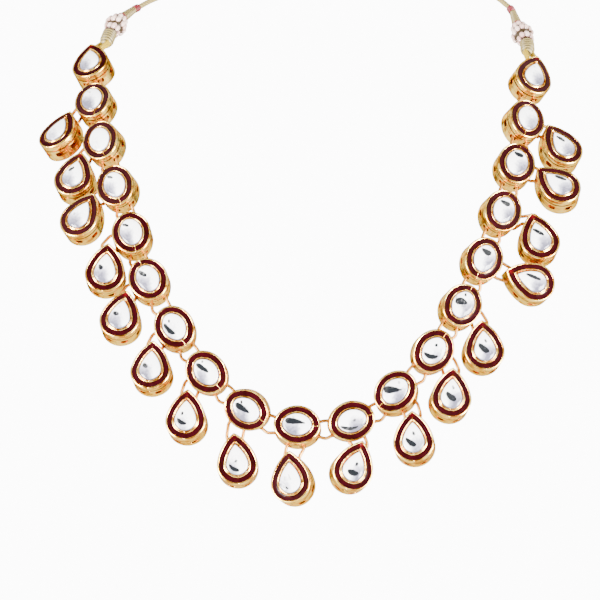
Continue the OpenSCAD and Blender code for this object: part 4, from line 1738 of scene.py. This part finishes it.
@dataclass
class NeckCord:
    """The gold cord: plies of metal thread twisted together, closed by a slide bead.

    The cord makes one twist in lay_mm, and groove is the share of its radius that it loses
    between two plies.
    """

    route: NeckRoute
    finish: bpy.types.Material
    diameter: float = 1.7
    lay_mm: float = 4.2
    plies: int = 3
    groove: float = 0.24
    spacing: float = 0.3
    sides: int = 24
    bead_half: float = 3
    bead_r: float = 2.5
    bead_waist: float = 0.85
    bead_turns: int = 6
    bead_ridge: float = 0.14
    bore_r: float = 1.0

    def build(self) -> bpy.types.Object:
        """The cord's radius at an angle is its own less a groove wherever that angle, less the
        twist so far, falls between two of the plies.

        Returns:
            The cord.
        """
        line = smooth_line(self.route.cord(), self.spacing)
        way = np.concatenate([[0], np.cumsum(np.linalg.norm(np.diff(line, axis=0), axis=1))])
        turn = np.arange(self.sides) * TURN / self.sides
        ply = self.plies / 2 * (turn[None, :] - TURN * way[:, None] / self.lay_mm)
        crown = np.abs(np.cos(ply)) ** 0.6
        radius = self.diameter / 2 * (1 - self.groove + self.groove * crown)
        shell = tube(line, radius, self.sides, False, np.array([0.0, 0, 1.0]))
        # Painted shade in the grooves between the plies
        shell.marked(hollow=np.concatenate([0.9 * (1 - crown.ravel()) ** 1.3, [0.5, 0.5]]))
        cord = make_piece("neck_cord_twist", shell, self.finish, ["neck_cord"])
        bead = self.bead()
        self.route.cord()[0] * MM
        return cord

    def bead(self) -> bpy.types.Object:
        """The thread-wound slide bead: a barrel with a bore, ridged by the turns on it.

        Its outer profile is a parabola less a dip between the turns. It is carried round the
        cord's line, which lies the bead's radius behind the origin.

        Returns:
            The bead.
        """
        t, half = np.linspace(0, 1, 90), self.bead_half
        bulge = self.bead_r - self.bead_waist * (2 * t - 1) ** 2
        ridge = np.abs(np.sin(TURN * self.bead_turns * t))
        outer = np.column_stack([2 * half * t - half, bulge - self.bead_ridge * (1 - ridge)])
        bore = half - 2 * half * t[::10]
        inner = np.column_stack([bore, np.full(len(bore), self.bore_r)])
        profile = np.concatenate([outer, inner])
        turn = np.arange(40) * TURN / 40
        x = np.broadcast_to(profile[:, :1], (len(profile), len(turn)))
        y = self.bead_r + profile[:, 1:] * np.cos(turn)
        rings = np.stack([x, y, profile[:, 1:] * np.sin(turn)], axis=-1)
        shell = sleeve(rings, closed=True)
        # Painted shade in the dips between the turns and in the bore
        hollow = np.repeat(np.concatenate([1 - ridge, np.ones(len(bore))]), len(turn))
        shell.marked(hollow=0.8 * hollow, skin=shell.points)
        return make_piece("slide_bead_wound", shell, self.finish, ["slide_bead"])


@dataclass
class CordEnd:
    """One end of the cord: loops, a winding, seed pearls, a tapered winding and a red band.

    Its points are the ends of its windings, from the chain upward.
    """

    side: str
    layout: Layout
    points: np.ndarray
    thread: bpy.types.Material
    loop: bpy.types.Material
    red: bpy.types.Material
    pearl: bpy.types.Material
    tie_w: float = 2.4
    tie_reach: float = 1.3
    tie_knee: float = 2.3
    tie_bend: float = 0.8
    strand_r: float = 0.3
    winding_d: float = 4.5
    turn_depth: float = 0.3
    head_round: float = 0.35
    pearls_d: float = 7.4
    pearls_neck: float = 1.5
    taper: tuple[float, float] = (3.4, 2.3)

    def wound(
        self,
        foot: np.ndarray,
        head: np.ndarray,
        diameters: tuple[float, float],
        pitch: float,
        narrowing: float = 0.35,
    ) -> Shell:
        """A winding: its radius runs evenly from end to end and dips between leaning turns.

        Args:
            foot: Middle of its lower end.
            head: Middle of its upper end.
            diameters: Its diameters at both ends.
            pitch: Distance from turn to turn, drawn coarser than the thread so that it shows.
            narrowing: Length over which its foot is drawn in, in millimetres.

        Returns:
            A closed shell with its ends drawn in.
        """
        length = float(np.linalg.norm(head - foot))
        t = np.linspace(0, 1, max(24, int(length / pitch * 12)))[:, None]
        turn = np.arange(32) * TURN / 32
        crown = np.abs(np.sin(math.pi * t * length / pitch + 0.5 * turn))
        drawn_in = np.minimum(t / narrowing, (1 - t) / self.head_round) * length
        ends = np.clip(drawn_in, 0, 1) ** 0.5
        radius = diameters[0] / 2 * (1 - t) + diameters[1] / 2 * t
        radius = radius - self.turn_depth * (1 - crown**0.6)
        line = foot + t * (head - foot)
        shell = tube(line, radius * (0.4 + 0.6 * ends), 32, False, np.array([0.0, 0, 1.0]))
        # Painted shade in the dips between the turns
        return shell.marked(hollow=np.concatenate([1 - crown.ravel() ** 2, [0.7, 0.7]]))

    def tie(self) -> Shell:
        """A loop of three strands through the end teardrop's tip windows.

        The strands lie in a bundle, and grow plumper from the windows to the winding.

        Returns:
            The strands.
        """
        row = self.layout.right if self.side == "right" else self.layout.left
        end = row[-1]
        links = Links(self.layout, self.thread)
        head = links.holes(end, (4, 3))
        beside = unit(head[1] - head[0])
        near = self.points[0] + self.tie_reach * unit(self.points[1] - self.points[0])
        knee = head + self.tie_knee * end.along
        under = head - links.hook * end.along
        half = self.tie_w / 2 * beside
        corners = np.stack([near - half, knee[0], under[0], under[1], knee[1], near + half])
        line = bent(corners, self.tie_bend, 9)
        plump = 1 + 0.9 * soft_step(1.6, 3.4, (line - head.mean(axis=0)) @ end.along)[:, None]
        strands = []
        for up, out in ((-0.26, 0.0), (0.26, 0.05), (0.0, -0.2)):
            moved = line + plump * (up * end.normal + out * end.along)
            strand = tube(moved, self.strand_r * plump, 10, True, end.normal)
            strands.append(strand.marked(hollow=0.0))
        return Shell.joined(strands)

    def pearls(self) -> tuple[Shell, Shell]:
        """Seed pearls in three rings on a barrel of thread.

        The barrel swells from its neck by a root of a sine. Each pearl is a long round, a
        little off its place and a little larger or smaller than the next.

        Returns:
            The pearls, and the thread barrel under them, painted in the shade colour.
        """
        foot, head = self.points[1], self.points[2]
        axis = unit(head - foot)
        length = float(np.linalg.norm(head - foot)) - 0.4
        x = square_to(np.array([0.0, 0, 1.0]), axis)
        y = np.cross(axis, x)
        t = np.linspace(0.02, 0.98, 30)
        neck = self.pearls_neck
        barrel = neck + (self.pearls_d / 2 - neck) * np.sin(math.pi * t) ** 0.7
        core = revolved(foot + axis * 0.2 + t[:, None] * length * axis, barrel - 0.85, 24)
        # The barrel takes the thread's shade colour all over: a painted shadow between the pearls
        core.marked(hollow=1.0)
        rng = np.random.default_rng(11 if self.side == "left" else 23)
        rows = np.array([0.17, 0.5, 0.83])
        counts = np.array([9, 12, 9])
        place = np.repeat(rows, counts)
        order = np.concatenate([np.arange(n) / n for n in counts])
        spin = TURN * (order + np.repeat(np.arange(3) * 0.37, counts))
        place = place + rng.uniform(-0.025, 0.025, len(place))
        spin = spin + rng.uniform(-0.1, 0.1, len(spin))
        size = rng.uniform(0.8, 0.94, len(place))
        reach = neck + (self.pearls_d / 2 - neck) * np.sin(math.pi * place) ** 0.7 - size
        out = np.cos(spin)[:, None] * x + np.sin(spin)[:, None] * y
        centre = foot + axis * (0.2 + place[:, None] * length) + reach[:, None] * out
        up = np.linspace(0, math.pi, 9)
        turn = np.arange(12) * TURN / 12
        ball = np.stack(
            [np.sin(up)[:, None] * np.cos(turn), np.sin(up)[:, None] * np.sin(turn),
             1.6 * np.cos(up)[:, None] * np.ones(12)], axis=-1
        )  # fmt: skip
        one = sleeve(ball[1:-1], closed=False)
        axes = np.broadcast_to(axis, out.shape)
        frame = np.stack([out, np.cross(axes, out), axes], axis=1)
        turned = np.einsum("vk,nkj->nvj", one.points, frame)
        all_points = centre[:, None] + size[:, None, None] * turned
        n = len(one.points)
        step = n * np.arange(len(place))[:, None, None]
        shell = Shell(
            all_points.reshape(-1, 3),
            (one.quads[None] + step).reshape(-1, 4),
            (one.triangles[None] + step).reshape(-1, 3),
        ).outward()
        shell.marked(skin=np.repeat(7 * rng.uniform(0, 9, (len(place), 3)), n, axis=0))
        # Painted shade on each pearl's sides, deeper away from its outward crown
        side = np.clip(0.75 - one.points[:, 0], 0, 1)
        return shell.marked(hollow=np.tile(side, len(place))), core

    def build(self) -> list[bpy.types.Object]:
        """Makes every piece of this end.

        Returns:
            The pieces, from the chain upward.
        """
        p, side = self.points, self.side
        pearls, core = self.pearls()
        band = self.taper[1] + 0.2
        foot = self.taper[0] + 0.35
        axis = unit(p[3] - p[2])
        reds = [
            self.wound(p[3], p[4], (band, band), 0.6),
            self.wound(p[2] - 0.1 * axis, p[2] + axis, (foot, foot), 0.5),
        ]
        winding = self.wound(p[0], p[1], (self.winding_d, self.winding_d), 1.0, 2.4)
        upper = self.wound(p[2], p[3], self.taper, 0.8)
        # Each piece's name, shell, finish, slot and the solid that it stands for
        rows = [
            ("tie_loops", self.tie(), self.loop, "gold_thread", "tie"),
            ("thread_winding", winding, self.thread, "gold_thread", "winding"),
            ("pearl_shadow_core", core, self.thread, "gold_thread", ""),
            ("seed_pearls", pearls, self.pearl, "seed_pearl", "pearls"),
            ("thread_taper", upper, self.thread, "gold_thread", "taper"),
            ("red_winding", Shell.joined(reds), self.red, "red_thread", "red_band"),
        ]
        return [
            make_piece(f"{name}_{side}", shell, finish, [f"{node}_{side}"] if node else [])
            for name, shell, finish, slot, node in rows
        ]


# Studio


@dataclass
class Studio:
    """Camera at the photograph's angle, soft lights all round and a plain pale floor.

    Places and sizes are in millimetres, and the lamps' power is in watts.
    """

    eye: tuple[float, float, float] = (-3, -920, -110)
    lens: float = 165.5
    sensor: float = 36
    middle: tuple[float, float, float] = (0, -60, -95)
    lamp_at: tuple[float, float, float] = (800, -680, -140)
    lamp_side: float = 500
    lamp_power: float = 70
    floor_at: float = -285
    floor_r: float = 620
    floor_flat_r: float = 300
    room_colour: str = "#fffdf8"
    room_front: float = 0.12
    room_low: float = 0.6
    room_high: float = 1.3
    panel_scale: float = 3.0
    panel_dark: float = 0.05
    panel_bright: float = 2.6
    paper: float = 12.0

    def camera(self) -> None:
        """A level camera that looks at the front."""
        data = bpy.data.cameras.new("camera")
        data.lens, data.sensor_width = self.lens, self.sensor
        data.clip_start, data.clip_end = 0.01, 20
        camera = bpy.data.objects.new("camera", data)
        bpy.context.scene.collection.objects.link(camera)
        level = Matrix.Rotation(math.pi / 2, 4, "X")
        camera.matrix_world = Matrix.Translation([x * MM for x in self.eye]) @ level
        bpy.context.scene.camera = camera

    def lamp(self, name: str, hand: int) -> None:
        """A square soft light that looks at the necklace's middle.

        Args:
            name: Its name.
            hand: Which side it stands on, 1 for the right and -1 for the left.
        """
        data = bpy.data.lights.new(name, "AREA")
        data.size, data.energy = self.lamp_side * MM, self.lamp_power
        lamp = bpy.data.objects.new(name, data)
        bpy.context.scene.collection.objects.link(lamp)
        at = (hand * self.lamp_at[0], *self.lamp_at[1:])
        z = unit(np.array(at, float) - np.array(self.middle, float))
        x = square_to(np.array([1.0, 0.02, 0.0]), z)
        y = np.cross(z, x)
        turn = Matrix(np.stack([x, y, z], axis=1).tolist()).to_4x4()
        lamp.matrix_world = Matrix.Translation([v * MM for v in at]) @ turn

    def world(self) -> None:
        """White paper behind the object, and a soft room that lights it.

        The room is dark in front, dimmer below, and broken into bright panels, so that the
        gold has something to show.
        """
        world = bpy.data.worlds.new("studio")
        world.use_nodes = True
        bpy.context.scene.world = world
        tree = world.node_tree
        room = tree.nodes["Background"]
        way = add_node(tree, "TexCoord").outputs["Generated"]
        part = add_node(tree, "SeparateXYZ", inputs={"Vector": way})
        smooth = {"interpolation_type": "SMOOTHSTEP"}
        aside = add_node(
            tree,
            "MapRange",
            smooth,
            {
                "Value": part.outputs["Y"],
                "From Min": -0.92,
                "From Max": -0.45,
                "To Min": self.room_front,
                "To Max": 1.0,
            },
        )
        upward = add_node(
            tree,
            "MapRange",
            smooth,
            {
                "Value": part.outputs["Z"],
                "From Min": -0.7,
                "From Max": 0.8,
                "To Min": self.room_low,
                "To Max": self.room_high,
            },
        )
        panels = add_node(
            tree, "TexNoise", inputs={"Vector": way, "Scale": self.panel_scale, "Detail": 0.0}
        )
        patch = add_node(
            tree,
            "MapRange",
            smooth,
            {
                "Value": panels.outputs["Fac"],
                "From Min": 0.42,
                "From Max": 0.6,
                "To Min": self.panel_dark,
                "To Max": self.panel_bright,
            },
        )
        both = add_node(
            tree, "Math", {"operation": "MULTIPLY"}, {0: aside.outputs[0], 1: upward.outputs[0]}
        )
        whole = add_node(
            tree, "Math", {"operation": "MULTIPLY"}, {0: both.outputs[0], 1: patch.outputs[0]}
        )
        tree.links.new(whole.outputs[0], room.inputs["Strength"])
        room.inputs["Color"].default_value = linear(self.room_colour)
        paper = add_node(
            tree, "Background", inputs={"Color": (1, 1, 1, 1), "Strength": self.paper}
        )
        seen = add_node(tree, "LightPath").outputs["Is Camera Ray"]
        both = add_node(
            tree, "MixShader", inputs={0: seen, 1: room.outputs[0], 2: paper.outputs[0]}
        )
        tree.links.new(both.outputs[0], tree.nodes["World Output"].inputs["Surface"])

    def floor(self) -> None:
        """A round pale floor well under the necklace, which hangs as it is worn."""
        turn = np.arange(96) * TURN / 96
        radius = np.array([self.floor_flat_r, self.floor_r])[:, None]
        x, y = radius * np.cos(turn), radius * np.sin(turn) + self.middle[1]
        rings = np.stack([x, y, np.full(x.shape, self.floor_at)], axis=-1)
        mesh = bpy.data.meshes.new("floor")
        outside = grid_quads(len(radius), len(turn), False, True)[:, ::-1]
        faces = [*outside.tolist(), list(range(len(turn)))]
        mesh.from_pydata((rings.reshape(-1, 3) * MM).tolist(), [], faces)
        material, _, shader = surface("pale_floor")
        shader.inputs["Base Color"].default_value = linear("#dcdad6")
        shader.inputs["Roughness"].default_value = 0.9
        mesh.materials.append(material)
        floor = bpy.data.objects.new("floor", mesh)
        bpy.context.scene.collection.objects.link(floor)

    def build(self) -> None:
        """Sets the whole studio up."""
        self.world()
        self.lamp("left_light", -1)
        self.lamp("right_light", 1)
        self.floor()


def main() -> None:
    """Builds the necklace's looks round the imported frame, the camera and the cord first."""
    logging.basicConfig(level=logging.INFO, format="%(name)s: %(message)s")
    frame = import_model()
    studio = Studio()
    studio.camera()
    route = NeckRoute()
    thread = ThreadFinish().make()
    NeckCord(route, thread).build()
    # Untwisted thread in a loop looks olive, and dyed silk has no metal in it
    loop = ThreadFinish("olive_loop_thread", "#a88c1c", "#4a3606", metallic=0.3).make()
    red = ThreadFinish(
        "red_silk_thread", "#7a0416", "#2c0208", metallic=0.0, roughness=0.55, fibre_mm=0.14
    ).make()
    pearl = PearlFinish().make()
    gold, enamel, stone = GoldFinish().make(), EnamelFinish().make(), StoneFinish().make()
    gallery = Gallery()
    layout = Layout.read(frame["nodes"], gallery)
    setting = GoldSetting(gallery, gold)
    drops = list(layout.drops.values())
    for seat in [*layout.chain, *drops]:
        setting.build(seat)
    fill = EnamelFill(gallery, enamel)
    fill.build("enamel_chain", layout.chain, "chain_enamel")
    fill.build("enamel_drops", drops, "drop_enamel")
    stones = Stones(gallery, stone)
    stones.build("stones_chain", layout.chain, "chain_stones")
    stones.build("stones_drops", drops, "drop_stones")
    # Drawn wire is duller and browner than the burnished settings
    wire = GoldFinish(
        "drawn_gold_wire", pale="#d4a85c", warm="#b8863c", amber="#8c5c20", roughness=0.42
    ).make()
    Links(layout, wire).build()
    for side in ("left", "right"):
        CordEnd(side, layout, route.end(side), thread, loop, red, pearl).build()
    studio.build()


if __name__ == "__main__":
    main()
